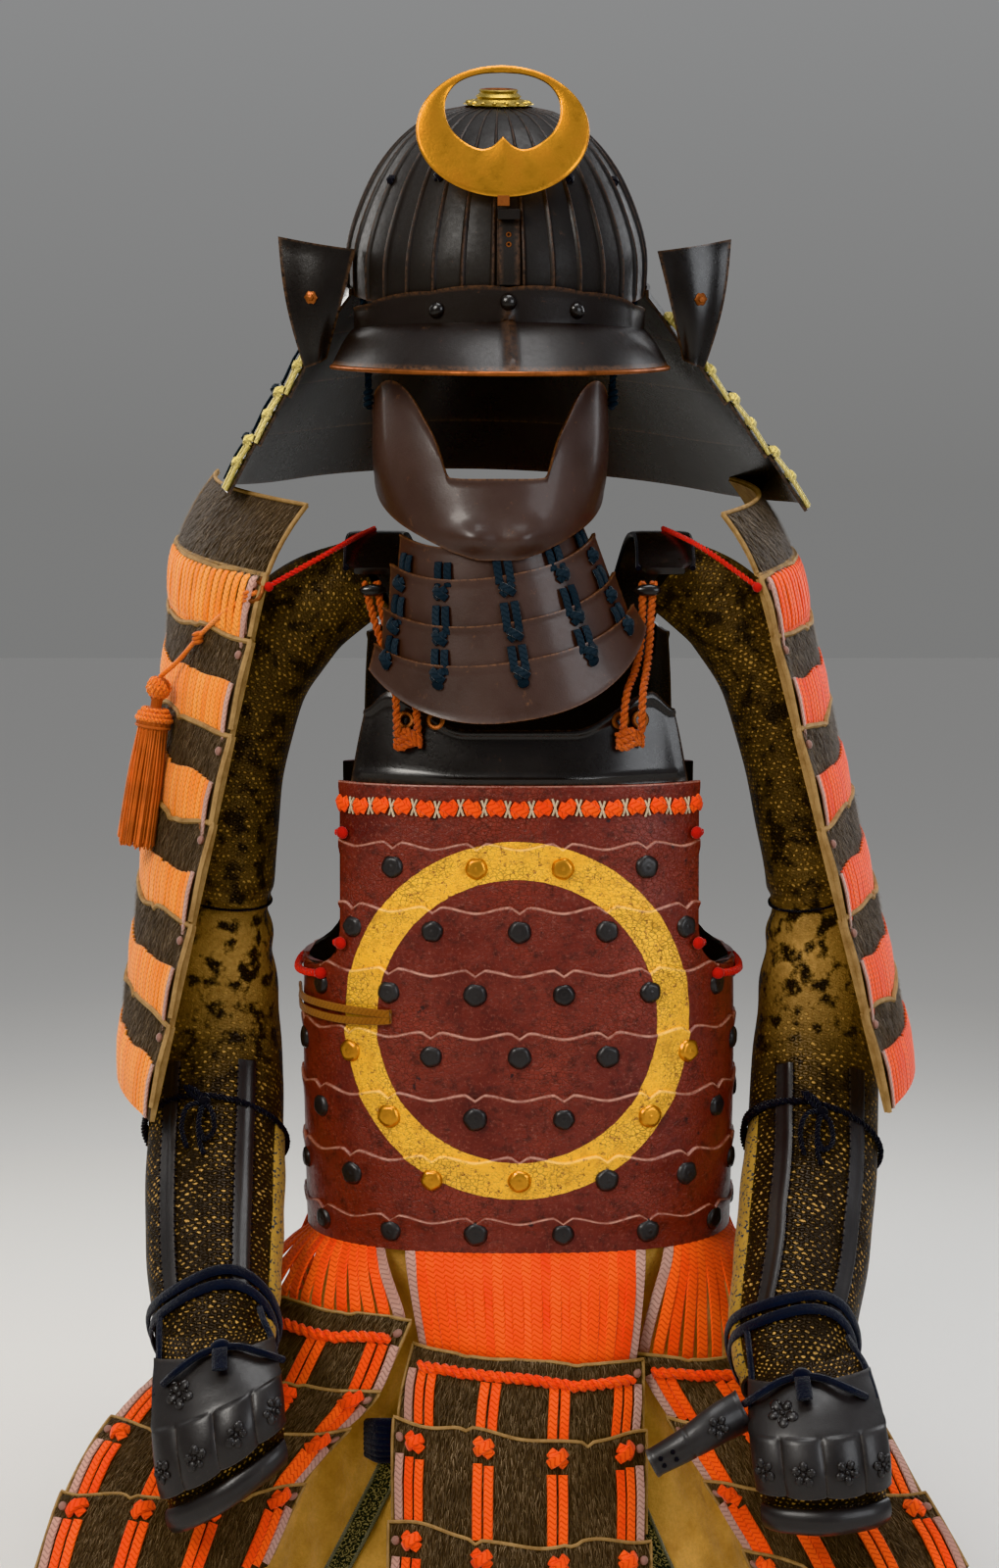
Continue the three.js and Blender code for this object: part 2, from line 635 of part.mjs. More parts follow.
// Rows of lames: each leans out to its top edge and laps over the one above
function cuirassHalf(places, wavy) {
  const { top, hem, rowPitch, rows, step, wall: thickness } = CUIRASS;
  const levels = [{ row: rows, lift: 0, at: hem }];
  for (let row = rows - 1; row >= 1; row--) {
    const at = top - row * rowPitch;
    levels.push({ row, lift: step, at }, { row, lift: 0, at: at + 0.8 });
  }
  levels.push({ row: 0, lift: step * 0.6, at: top });
  const face = (distance, v) => {
    const k = Math.min(levels.length - 2, Math.max(0, Math.floor(v)));
    const height = ({ at, row }) => at + (wavy && row > 0 && row < rows ? scallop(distance, row) : 0);
    const z = mix(height(levels[k]), height(levels[k + 1]), v - k);
    return torsoPoint(angleAt(distance), z);
  };
  return wall(face, {
    columns: places,
    rows: levels.map((_, k) => k),
    innerColumns: steps(places[0], places.at(-1), 18),
    innerRows: [0, 4, 8, 12, levels.length - 1],
    thickness,
    relief: (_, v) => levels[Math.round(v)].lift,
  });
}

function wavyPlaces() {
  const marks = [];
  for (let k = -4; k <= 4; k++) {
    for (const part of [-7, 0, 7, 28, 35, 42]) marks.push(k * SCALLOP.spacing + part);
  }
  const limit = SIDE_SEAM - 0.25;
  const inside = [...new Set(marks)].filter((mark) => Math.abs(mark) < limit - 4).sort((a, b) => a - b);
  return [-limit, ...inside, limit];
}

// A rounded block that clears the armholes beside the upper front or back
function armholeCutter(sign, from, to, edge) {
  const corner = 34;
  const far = 260;
  const outline = new THREE.Shape();
  outline.moveTo(edge, 40);
  outline.lineTo(edge, CUIRASS.armholeFloor + corner);
  outline.quadraticCurveTo(edge, CUIRASS.armholeFloor, edge + corner, CUIRASS.armholeFloor);
  outline.lineTo(far, CUIRASS.armholeFloor);
  outline.lineTo(far, 40);
  const settings = { depth: to - from, bevelEnabled: false, curveSegments: 5 };
  const geometry = new THREE.ExtrudeGeometry(outline, settings);
  geometry.rotateX(Math.PI / 2).translate(0, to, 0);
  if (sign > 0) return solidOf(geometry);
  const mirrored = solidOf(geometry);
  return mirrored.mirror([1, 0, 0]);
}

function cuirassFront() {
  let solid = solidOf(cuirassHalf(wavyPlaces(), true));
  for (const { sign } of SIDES) solid = solid.subtract(armholeCutter(sign, -250, 30, CHEST.halfWidth));
  return geometryOf(solid);
}
function cuirassBack() {
  const from = SIDE_SEAM + 0.25;
  const places = steps(from, 2 * HALF_GIRTH - from, 14);
  let solid = solidOf(cuirassHalf(places, false));
  for (const { sign } of SIDES) solid = solid.subtract(armholeCutter(sign, -30, 250, CHEST.halfWidth + 6));
  return geometryOf(solid);
}
add('cuirass_front', cuirassFront(), MATERIAL.leather);
add('cuirass_back', cuirassBack(), MATERIAL.leather);

// The lacquered plate over the breast, its rolled rim dipping below the neck
function chestPlate() {
  const limit = (v) => mix(147, 134, v);
  const rim = (distance) => mix(-147, -118, smooth((Math.abs(distance) - 45) / 70));
  const face = (t, v) => {
    const distance = t * limit(v);
    const corner = 14 * smooth((Math.abs(distance) - 112) / 22) * v;
    return torsoPoint(angleAt(distance), mix(CHEST.bottom, rim(distance) - corner, v));
  };
  return wall(face, {
    columns: steps(-1, 1, 20),
    rows: [0, 0.1, 0.14, 0.8, 0.9, 1],
    innerRows: [0, 1],
    thickness: LACQUER_WALL,
    relief: (_, v) => ({ 0.1: 1.5, 0.9: CHEST.bead, 1: 2 })[v] ?? 0,
  });
}
add('chest_plate', chestPlate(), MATERIAL.lacquer);

function backPlate() {
  const limit = 146;
  const face = (distance, v) => {
    const corner = 14 * smooth((Math.abs(distance) - 120) / 26) * v;
    return torsoPoint(angleAt(distance + HALF_GIRTH), mix(CHEST.bottom, -66 - corner, v));
  };
  return wall(face, {
    columns: steps(-limit, limit, 12),
    rows: [0, 0.06, 0.94, 1],
    innerRows: [0, 1],
    thickness: LACQUER_WALL,
    relief: (_, v) => (v === 1 || v === 0.94 ? 2 : 0),
  });
}
add('back_plate', backPlate(), MATERIAL.lacquer);

// A strap over each shoulder, fixed to the back plate's inside
function shoulderStrap(sign) {
  const width = 44;
  const line = new THREE.CatmullRomCurve3([
    point(sign * 86, 85.1, -106),
    point(sign * 91, 81, -76),
    point(sign * 104, 70, -34),
    point(sign * 112, 42, -5),
    point(sign * 116, 4, 0),
    point(sign * 117, -38, -7),
    point(sign * 116, -74, -27),
  ]);
  const face = (u, v) => {
    const p = line.getPoint(v);
    return point(p.x + u * width * 0.5, p.y, p.z);
  };
  return wall(face, { columns: [-1, -0.8, 0.8, 1], rows: steps(0.001, 0.999, 16), thickness: 6 });
}
for (const { name, sign } of SIDES) add(`strap_${name}`, shoulderStrap(sign), MATERIAL.lacquer);

const SHOULDER_CORDS = {
  left: [
    point(-86, -117.5, -155),
    point(-88, -122.5, -143),
    point(-90, -120, -118),
    point(-97, -104, -103),
    point(-104, -90, -84),
    point(-113, -81, -56),
    point(-118, -78, -33),
  ],
  right: [
    point(86, -117.5, -155),
    point(88, -122.5, -143),
    point(90, -120, -118),
    point(95, -104, -103),
    point(99, -90, -84),
    point(101, -81, -56),
    point(102, -78, -33),
  ],
};
for (const { name } of SIDES) {
  add(`shoulder_cord_${name}`, cord(SHOULDER_CORDS[name], CORD_RADIUS, 6, 14), MATERIAL.rustCord);
}

// Lacing under the hem, and the furred tassets that hang on it

function tassetRows({ rows, azimuth, from, to, flare, drop }) {
  if (rows) return rows;
  const out = point(Math.sin(rad(azimuth)), -Math.cos(rad(azimuth)), 0);
  return TASSET.depths.map((depth, k) => {
    const hem = torsoPoint(rad((from + to) / 2), CUIRASS.hem);
    const middle = hem.addScaledVector(out, (drop + depth) * Math.sin(rad(flare)));
    const z = middle.z - drop - depth * Math.cos(rad(flare));
    return { k, x: middle.x, y: middle.y, z, azimuth, half: TASSET.halfWidth, roll: 0 };
  });
}
// t runs across the tasset from -1 to 1, v down it by lames
function tassetFace(tasset) {
  const rows = tassetRows(tasset);
  return (t, v) => {
    const value = (column) => along(rows, 'k', column, v);
    const [x, y, z, azimuth, half, roll] = ['x', 'y', 'z', 'azimuth', 'half', 'roll'].map(value);
    const [s, c] = [Math.sin(rad(azimuth)), Math.cos(rad(azimuth))];
    const radius = half / TASSET.bend;
    const aside = radius * Math.sin(t * TASSET.bend);
    const back = radius * (1 - Math.cos(t * TASSET.bend));
    return point(x + c * aside - s * back, y + s * aside + c * back, z - Math.sin(rad(roll)) * aside);
  };
}
function lameRows(count) {
  const rows = [0];
  for (let k = 1; k < count; k++) rows.push(k - 0.02, k);
  return [...rows, count];
}
function lameLift(step, count) {
  return (_, v) => {
    if (v === 0) return step * 0.6;
    return v < count && Number.isInteger(v) ? step : 0;
  };
}

function tassetBody(tasset) {
  return wall(tassetFace(tasset), {
    columns: steps(-1, 1, 10),
    rows: lameRows(4),
    innerRows: [0, 1, 2, 3, 4],
    thickness: FUR_WALL,
    relief: lameLift(TASSET.step, 4),
    flip: true,
  });
}

function waistLacing(tasset) {
  const body = tassetFace(tasset);
  const braids = Math.round(((tasset.to - tasset.from) / 58) * 21);
  const limit = 0.985;
  const face = (t, v) => {
    const low = body(t, 0).addScaledVector(normalOf(body, t, 0.001), -0.5).add(point(0, 0, 0.9));
    const high = torsoPoint(rad(mix(tasset.from, tasset.to, (t + 1) / 2)), CUIRASS.hem - SEAM_GAP);
    return low.lerp(high, v);
  };
  return wall(face, {
    columns: steps(-limit, limit, braids * 2),
    rows: [0, 0.5, 1],
    innerColumns: steps(-limit, limit, 8),
    innerRows: [0, 1],
    thickness: 1.6,
    relief: (t) => (Math.round(((t + limit) / (2 * limit)) * braids * 2) % 2 ? 0.4 : -0.9),
  });
}
for (const tasset of [...FRONT_TASSETS, ...PLAIN_TASSETS]) {
  add(`lacing_${tasset.name}`, waistLacing(tasset), MATERIAL.orangeLace);
  add(`tasset_${tasset.name}`, tassetBody(tasset), MATERIAL.fur);
}

// Shoulder guards

// t runs across the guard from -1 to 1, depth down it in mm
function guardPoint({ side, x, y, z, azimuth, twist, lean }, t, depth) {
  const { width, bend, depths } = SHOULDER_GUARD;
  const turn = rad(azimuth + (twist * Math.max(0, depth)) / depths.at(-1));
  const radius = width / 2 / bend;
  const aside = radius * Math.sin(t * bend);
  const back = radius * (1 - Math.cos(t * bend));
  return point(
    x + Math.cos(turn) * aside - Math.sin(turn) * back + side * depth * Math.sin(rad(lean)),
    y + Math.sin(turn) * aside + Math.cos(turn) * back,
    z - depth * Math.cos(rad(lean)) + side * 14 * t,
  );
}
function shoulderGuard(guard) {
  const { depths, step } = SHOULDER_GUARD;
  const table = depths.map((depth, k) => ({ k, depth }));
  const lames = depths.length - 1;
  return wall((t, v) => guardPoint(guard, t, along(table, 'k', 'depth', v)), {
    columns: steps(-1, 1, 8),
    rows: lameRows(lames),
    innerRows: [0, 2, 4, lames],
    thickness: FUR_WALL,
    relief: lameLift(step, lames),
    flip: true,
  });
}
// The top plate leans in over the shoulder from the first lame's edge
function guardTop(guard, height) {
  const face = (t, v) => {
    const rise = height * v;
    const inward = rise * Math.sin(rad(GUARD_TOP.lean)) * mix(0.6, 1, v);
    const p = guardPoint(guard, t, 0);
    const depth = SEAM_GAP + 0.6 + rise * Math.cos(rad(GUARD_TOP.lean));
    return point(p.x - guard.side * inward, p.y, p.z + depth);
  };
  return wall(face, { columns: steps(-1, 1, 8), rows: [0, 0.3, 0.65, 1], thickness: FUR_WALL });
}
for (const { name } of SIDES) {
  add(`shoulder_guard_top_${name}`, guardTop(GUARDS[name], GUARD_TOP.height[name]), MATERIAL.fur);
  add(`shoulder_guard_${name}`, shoulderGuard(GUARDS[name]), MATERIAL.fur);
}

// Sleeves

function sleeveFace(rows) {
  const curve = new THREE.CatmullRomCurve3(rows.map((row) => point(row.x, row.y, row.z)));
  const last = rows.length - 1;
  return (angle, v) => {
    const at = THREE.MathUtils.clamp(v / last, 0, 1);
    const tangent = curve.getTangent(at);
    const side = point(-tangent.z, 0, tangent.x).normalize();
    const top = tangent.clone().cross(side).normalize();
    const [wide, deep] = [along(rows, 'k', 'across', v), along(rows, 'k', 'deep', v)];
    return curve
      .getPoint(at)
      .addScaledVector(side, wide * Math.sin(angle))
      .addScaledVector(top, -deep * Math.cos(angle));
  };
}
const SPLINT = { places: [Math.PI - 0.55, Math.PI + 0.6], half: 0.15, from: 7.6, to: 9.6 };
function sleeve(rows) {
  const last = rows.length - 1;
  const relief = (angle, v) => {
    const near = SPLINT.places.some((place) => Math.abs(angle - place) < SPLINT.half + 0.01);
    return near && v > SPLINT.from - 0.01 && v < SPLINT.to + 0.01 ? 2 : 0;
  };
  const marks = SPLINT.places.flatMap((place) => [-0.19, -0.15, 0.15, 0.19].map((off) => place + off));
  const columns = [...marks, ...steps(Math.PI + 1.1, 3 * Math.PI - 1.1, 9)].sort((a, b) => a - b);
  columns.push(columns[0] + 2 * Math.PI);
  return wall(sleeveFace(rows), {
    columns,
    rows: [0, 1, 2, 3, 4, 5, 6, 7, 7.5, 7.6, 8.6, 9.6, 9.7, last],
    innerColumns: steps(columns[0], columns.at(-1), 12),
    innerRows: [0, 1, 2, 4, 5, 6, 7, 8, 9, last],
    thickness: CLOTH_WALL,
    relief,
    loop: true,
  });
}
for (const { name } of SIDES) add(`sleeve_${name}`, sleeve(SLEEVES[name]), MATERIAL.mail);

// Hand guards: a mail lining over the back of the hand, rounded plates on it and a roll over the fingertips

function handFace({ wrist, turn, slant }) {
  const place = new THREE.Matrix4().makeRotationY(rad(turn)).setPosition(...wrist);
  return (u, v) => {
    const [out, down, half] = ['out', 'down', 'half'].map((column) => along(HAND_PROFILE, 'v', column, v));
    const bend = 1.15;
    const radius = half / Math.sin(bend);
    const x = radius * Math.sin(u * bend);
    const tilt = slant * x * smooth(v / 4);
    return point(x, -out + radius * 0.8 * (1 - Math.cos(u * bend)), tilt - down).applyMatrix4(place);
  };
}
const raised = (face, lift) => (u, v) => face(u, v).addScaledVector(normalOf(face, u, v), lift);

function handLining(hand) {
  return wall(handFace(hand), {
    columns: steps(-1, 1, 8),
    rows: steps(0, 8, 8),
    innerRows: [0, 2, 4, 6, 8],
    thickness: CLOTH_WALL,
    flip: true,
  });
}
function handPlate(hand) {
  const finger = (u) => 3 * Math.abs(Math.sin(((u + 0.96) / 1.92) * 4 * Math.PI)) ** 0.6;
  return wall(raised(handFace(hand), -3.7), {
    columns: steps(-0.96, 0.96, 16),
    rows: [0.8, 2.2, 2.35, 3.4, 4.3],
    innerColumns: steps(-0.96, 0.96, 8),
    thickness: LACQUER_WALL,
    relief: (u, v) => (v > 2.3 ? finger(u) : 0),
    flip: true,
  });
}
function fingerRoll(hand) {
  return wall(raised(handFace(hand), -3.4), {
    columns: steps(-0.9, 0.9, 8),
    rows: [6.2, 6.5, 7.2, 7.8],
    innerRows: [6.2, 7, 7.8],
    thickness: LACQUER_WALL,
    relief: (_, v) => (v > 6.3 && v < 7.7 ? 3.5 : 0),
    flip: true,
  });
}
for (const { name } of SIDES) {
  add(`hand_lining_${name}`, handLining(HANDS[name]), MATERIAL.mail);
  add(`hand_plate_${name}`, handPlate(HANDS[name]), MATERIAL.handGuard);
  add(`finger_roll_${name}`, fingerRoll(HANDS[name]), MATERIAL.handGuard);
}

// The thumb's plate, bent round the thumb, stands out towards the middle of the body
function thumbPlate() {
  const line = new THREE.CatmullRomCurve3([
    point(170.6, -236, -654),
    point(149, -250, -661),
    point(124, -257, -675),
    point(99, -256, -690),
  ]);
  const face = (angle, v) => {
    const size = 15 - 4 * Math.max(0, v - 0.4);
    const offset = point(0.35 * size * Math.sin(angle), -size * Math.cos(angle), size * Math.sin(angle));
    return line.getPoint(THREE.MathUtils.clamp(v, 0, 1)).add(offset);
  };
  return wall(face, { columns: steps(-1.3, 1.3, 6), rows: steps(0, 1, 6), thickness: LACQUER_WALL });
}
add('thumb_plate_right', thumbPlate(), MATERIAL.handGuard);

// Thigh guard: two cloth panels tied at the waist inside the cuirass

function thighPanel(sign) {
  const panel = (t, z) => {
    const fall = (-540 - z) / 340;
    const from = sign > 0 ? 5 + 24 * Math.max(0, fall - 0.45) : 5;
    const puff = 3 * Math.sin(t * 9) * smooth(fall * 3);
    const width = along(THIGH, 'z', 'width', z) + puff;
    const p = ring(rad(mix(from, 86, t)) * sign, width, along(THIGH, 'z', 'front', z) + puff, 60, 2.4);
    return point(p.x, p.y, z);
  };
  return wall(panel, {
    columns: steps(0, 1, 12),
    rows: [-880, -810, -740, -670, -600, -575, -560, -540],
    thickness: CLOTH_WALL,
    flip: sign < 0,
  });
}
for (const { name, sign } of SIDES) add(`thigh_panel_${name}`, thighPanel(sign), MATERIAL.tanCloth);

// Red cords from the straps to a ring at the front of each shoulder guard, and the tassel of the left one

function hangingCord(guard) {
  const surface = (t, depth) => guardPoint(guard, t, depth);
  const edge = surface(-guard.side, 8);
  const out = edge.clone().sub(surface(-guard.side * 0.99, 8)).normalize();
  const end = edge.addScaledVector(out, 1.9).addScaledVector(normalOf(surface, -guard.side, 8), 1);
  const x = (size) => guard.side * size;
  return [point(x(118), 2, 8.1), point(x(129), -40, 3), point(x(148), -82, -8), end];
}
for (const { name } of SIDES) {
  add(`guard_cord_${name}`, cord(hangingCord(GUARDS[name]), 1.6, 6, 10), MATERIAL.redLace);
}
const TASSEL = { tilt: 9, length: 140 };
// across the left guard, down it and out from it
const TASSEL_ROUTE = [
  [0.97, 14, 4.1],
  [0.8, 26, 4.3],
  [0.52, 54, 6.6],
  [0.3, 84, 12],
  [0.2, 100, 20],
];
const tasselRoute = TASSEL_ROUTE.map(([t, depth, lift]) => {
  const surface = (u, d) => guardPoint(GUARDS.left, u, d);
  return surface(t, depth).addScaledVector(normalOf(surface, t, depth), -lift);
});
add('tassel_cord', cord(tasselRoute, 2, 6, 16), MATERIAL.orangeLace);

function tassel() {
  const head = [
    [0, 0],
    [6, -2],
    [9, -9],
    [6, -16],
    [4, -19],
    [4, -24],
    [12, -29],
    [14, -36],
    [12.5, -42],
    [0, -42],
  ];
  const profile = head.map(([r, h]) => new THREE.Vector2(r, h)).reverse();
  let solid = solidOf(new THREE.LatheGeometry(profile, 10).rotateX(Math.PI / 2));
  const strand = (radius, angle) => {
    const geometry = new THREE.CylinderGeometry(1.5, 1.5, TASSEL.length - 40, 3, 1);
    geometry.rotateX(Math.PI / 2);
    geometry.translate(radius * Math.cos(angle), radius * Math.sin(angle), -(TASSEL.length + 40) / 2);
    return solidOf(geometry);
  };
  for (const [radius, count] of [[10.6, 14], [6, 6]]) {
    for (let k = 0; k < count; k++) solid = solid.add(strand(radius, (2 * Math.PI * k) / count));
  }
  const top = tasselRoute.at(-1);
  return geometryOf(solid).rotateY(rad(TASSEL.tilt)).translate(top.x, top.y, top.z - 1.1);
}
add('tassel', tassel(), MATERIAL.orangeLace);

export default armour;
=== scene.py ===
"""The looks of the samurai armour: every piece of the frame gets its finer form and its material."""

import math

import bmesh
import bpy
import numpy as np
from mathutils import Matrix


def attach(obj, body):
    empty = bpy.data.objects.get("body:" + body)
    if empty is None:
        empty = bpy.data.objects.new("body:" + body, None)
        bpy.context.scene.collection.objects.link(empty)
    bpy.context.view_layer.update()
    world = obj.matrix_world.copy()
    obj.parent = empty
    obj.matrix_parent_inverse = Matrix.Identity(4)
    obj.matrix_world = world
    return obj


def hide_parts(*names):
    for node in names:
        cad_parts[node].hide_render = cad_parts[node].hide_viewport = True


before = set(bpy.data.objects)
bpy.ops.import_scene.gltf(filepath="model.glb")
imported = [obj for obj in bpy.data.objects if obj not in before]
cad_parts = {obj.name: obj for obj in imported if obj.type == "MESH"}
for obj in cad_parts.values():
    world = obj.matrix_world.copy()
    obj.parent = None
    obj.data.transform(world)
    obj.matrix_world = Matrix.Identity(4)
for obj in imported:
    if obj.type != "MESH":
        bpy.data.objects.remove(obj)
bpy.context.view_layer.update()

MM = 0.001
rng = np.random.default_rng(11)
rad = math.radians

# Camera, at the photograph's height, distance and pitch
camera = bpy.data.objects.new("camera", bpy.data.cameras.new("camera"))
bpy.context.scene.collection.objects.link(camera)
camera.location = (-0.0158, -2.3358, 0.0434)
camera.rotation_euler = (rad(84), 0, 0)
camera.data.sensor_width = 36
camera.data.lens = 65.25
bpy.context.scene.camera = camera


# Arrays of points, all in millimetres


def vec(x, y, z):
    return np.stack(np.broadcast_arrays(np.asarray(x, float), y, z), -1)


def unit(a):
    return a / np.maximum(np.linalg.norm(a, axis=-1, keepdims=True), 1e-9)


def mix(a, b, t):
    return a + (b - a) * t


def smooth(t):
    t = np.clip(t, 0, 1)
    return t * t * (3 - 2 * t)


def along(table, column, at):
    """A column of a table of numbers whose first column is the key, on a smooth curve."""
    keys, values = table[:, 0], table[:, column]
    last = len(keys) - 1
    at = np.asarray(at, float)
    k = np.clip(np.searchsorted(keys, at) - 1, 0, last - 1)
    before, after = np.maximum(0, k - 1), np.minimum(last, k + 2)
    span = keys[k + 1] - keys[k]
    t = np.clip((at - keys[k]) / span, 0, 1)
    slope_a = (values[k + 1] - values[before]) / (keys[k + 1] - keys[before]) * span
    slope_b = (values[after] - values[k]) / (keys[after] - keys[k]) * span
    return (
        (2 * t**3 - 3 * t**2 + 1) * values[k]
        + (t**3 - 2 * t**2 + t) * slope_a
        + (3 * t**2 - 2 * t**3) * values[k + 1]
        + (t**3 - t**2) * slope_b
    )


def ring(angle, width, front, back, squareness):
    """A squared-off ring: angle 0 is the front (-Y) and grows towards +X."""
    s, c = np.sin(angle), np.cos(angle)
    power = 2 / squareness
    depth = np.where(c > 0, front, back)
    return width * np.sign(s) * np.abs(s) ** power, -depth * np.sign(c) * np.abs(c) ** power


def turned(axis, degrees, shift=(0, 0, 0)):
    """A 4 x 4 matrix that turns about an axis through the origin, then shifts."""
    c, s = math.cos(rad(degrees)), math.sin(rad(degrees))
    m = np.eye(4)
    i, j = {"x": (1, 2), "y": (2, 0), "z": (0, 1)}[axis]
    m[i, i] = m[j, j] = c
    m[i, j], m[j, i] = -s, s
    m[:3, 3] = shift
    return m


def moved(p, m):
    return p @ m[:3, :3].T + m[:3, 3]


def spline(points, count):
    """Points at even steps of a centripetal curve through the given ones."""
    p = np.asarray(points, float)
    ends = [2 * p[0] - p[1]], [2 * p[-1] - p[-2]]
    p = np.concatenate([ends[0], p, ends[1]])
    out = []
    for place in np.linspace(0, len(p) - 3 - 1e-9, count):
        k = int(place)
        t = place - k
        q = p[k : k + 4]
        gap = np.maximum(np.linalg.norm(np.diff(q, axis=0), axis=1) ** 0.5, 1e-6)
        ta, tb, tc = gap[0], gap[0] + gap[1], gap.sum()
        x = mix(ta, tb, t)
        a1 = mix(q[0], q[1], x / ta)
        a2 = mix(q[1], q[2], (x - ta) / (tb - ta))
        a3 = mix(q[2], q[3], (x - tb) / (tc - tb))
        b1 = mix(a1, a2, x / tb)
        b2 = mix(a2, a3, (x - ta) / (tc - ta))
        out.append(mix(b1, b2, (x - ta) / (tb - ta)))
    return np.array(out)


def frame_at(face, u, v, flip=False):
    """Point, unit u and v directions and unit normal of a surface."""
    e = 1e-4
    p = face(u, v)
    du = face(u + e, v) - face(u - e, v)
    dv = face(u, v + e) - face(u, v - e)
    n = unit(np.cross(du, dv)) * (-1 if flip else 1)
    return p, unit(du), unit(dv), n


def spot(face, u, v, flip=False):
    """frame_at for one place."""
    return frame_at(face, np.float64(u), np.float64(v), flip)


class Shape:
    """Collects the vertices and faces of one mesh. tone is a number kept at each vertex."""

    def __init__(self):
        self.points, self.faces, self.slots, self.uvs, self.tones = [], [], [], [], []
        self.count = 0

    def vertices(self, points, uv=None, tone=0.0):
        """Adds points and returns the number of the first."""
        points = np.asarray(points, float).reshape(-1, 3)
        self.points.append(points)
        self.uvs.append(np.zeros((len(points), 2)) if uv is None else np.asarray(uv).reshape(-1, 2))
        self.tones.append(np.broadcast_to(np.asarray(tone, float).reshape(-1), (len(points),)))
        self.count += len(points)
        return self.count - len(points)

    def skin(self, faces, slot=0):
        faces = np.asarray(faces).tolist()
        self.faces.extend(faces)
        self.slots.extend([slot] * len(faces))

    def add(self, points, faces, slot=0, uv=None, tone=0.0):
        first = self.vertices(points, uv, tone)
        self.skin(np.asarray(faces) + first, slot)
        return first

    def make(self, name, *materials, replaces=(), slot=None, angle=40, weld=False):
        mesh = bpy.data.meshes.new(name)
        points = np.concatenate(self.points) * MM
        mesh.from_pydata(points.tolist(), [], self.faces)
        for material in materials:
            mesh.materials.append(material)
        mesh.polygons.foreach_set("material_index", np.array(self.slots, np.int32))
        corners = np.empty(len(mesh.loops), np.int32)
        mesh.loops.foreach_get("vertex_index", corners)
        uv = mesh.uv_layers.new(name="mm")
        uv.data.foreach_set("uv", np.concatenate(self.uvs)[corners].astype(np.float32).ravel())
        tone = mesh.attributes.new("tone", "FLOAT", "POINT")
        tone.data.foreach_set("value", np.concatenate(self.tones).astype(np.float32))
        if weld:
            body = bmesh.new()
            body.from_mesh(mesh)
            bmesh.ops.remove_doubles(body, verts=body.verts, dist=0.00004)
            bmesh.ops.dissolve_degenerate(body, edges=body.edges, dist=0.00002)
            body.to_mesh(mesh)
            body.free()
        mesh.shade_smooth()
        mesh.set_sharp_from_angle(angle=rad(angle))
        mesh.update()
        piece = bpy.data.objects.new(name, mesh)
        bpy.context.scene.collection.objects.link(piece)
        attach(piece, "root")
        if replaces:
            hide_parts(*([replaces] if isinstance(replaces, str) else replaces))
        return piece

    def stand_for(self, node, finish, *materials, **settings):
        """Makes the piece that takes a node's place, named after the node and its finish."""
        return self.make(f"{node}_{finish}", *materials, replaces=node, **settings)


def grid_uv(p):
    """Distances in metres along the middle lines of a grid of points."""
    across = np.linalg.norm(np.diff(p[:, p.shape[1] // 2], axis=0), axis=1)
    down = np.linalg.norm(np.diff(p[p.shape[0] // 2], axis=0), axis=1)
    s = np.concatenate([[0], np.cumsum(across)]) * MM
    t = np.concatenate([[0], np.cumsum(down)]) * MM
    return np.stack(np.meshgrid(s - s[-1] / 2, t, indexing="ij"), -1)


def wall(shape, face, us, vs, thick, relief=None, flip=False, slots=(0, 0), uv=None, tone=0.0, loop=False):
    """A closed wall: the face and its relief outside, and the plain inside thick behind it.

    A loop has no end faces: make welds its two ends where they meet.
    """
    u, v = np.meshgrid(us, vs, indexing="ij")
    p, _, _, n = frame_at(face, u, v, flip)
    outer = p + n * (relief(u, v)[..., None] if relief else 0)
    size = u.size
    index = np.arange(size).reshape(u.shape)
    corners = index[:-1, :-1], index[1:, :-1], index[1:, 1:], index[:-1, 1:]
    skin = np.stack(corners, -1).reshape(-1, 4)
    low, high, left, right = index[:, 0], index[:, -1], index[0], index[-1]
    edges = [(low[:-1], low[:-1] + size, low[1:] + size, low[1:])]
    edges.append((high[1:], high[1:] + size, high[:-1] + size, high[:-1]))
    if not loop:
        edges.append((left[:-1], left[1:], left[1:] + size, left[:-1] + size))
        edges.append((right[:-1], right[:-1] + size, right[1:] + size, right[1:]))
    edges = np.concatenate([np.stack(e, -1) for e in edges])
    turn = -1 if flip else 1
    uv = grid_uv(outer) if uv is None else uv(u, v)
    tone = np.broadcast_to(tone(u, v) if callable(tone) else tone, u.shape)
    points = np.concatenate([outer.reshape(-1, 3), (p - n * thick).reshape(-1, 3)])
    first = shape.vertices(points, np.concatenate([uv.reshape(-1, 2)] * 2), np.concatenate([tone.ravel()] * 2))
    shape.skin(skin[:, ::turn] + first, slots[0])
    shape.skin(skin[:, ::-turn] + size + first, slots[1])
    shape.skin(edges[:, ::turn] + first, slots[-1])
    return outer


def loop_faces(rows, columns):
    """Faces of a grid of points whose columns close round on themselves."""
    i, j = np.meshgrid(np.arange(rows - 1), np.arange(columns), indexing="ij")
    a, b = i * columns + j, i * columns + (j + 1) % columns
    return np.stack([a, b, b + columns, a + columns], -1).reshape(-1, 4)


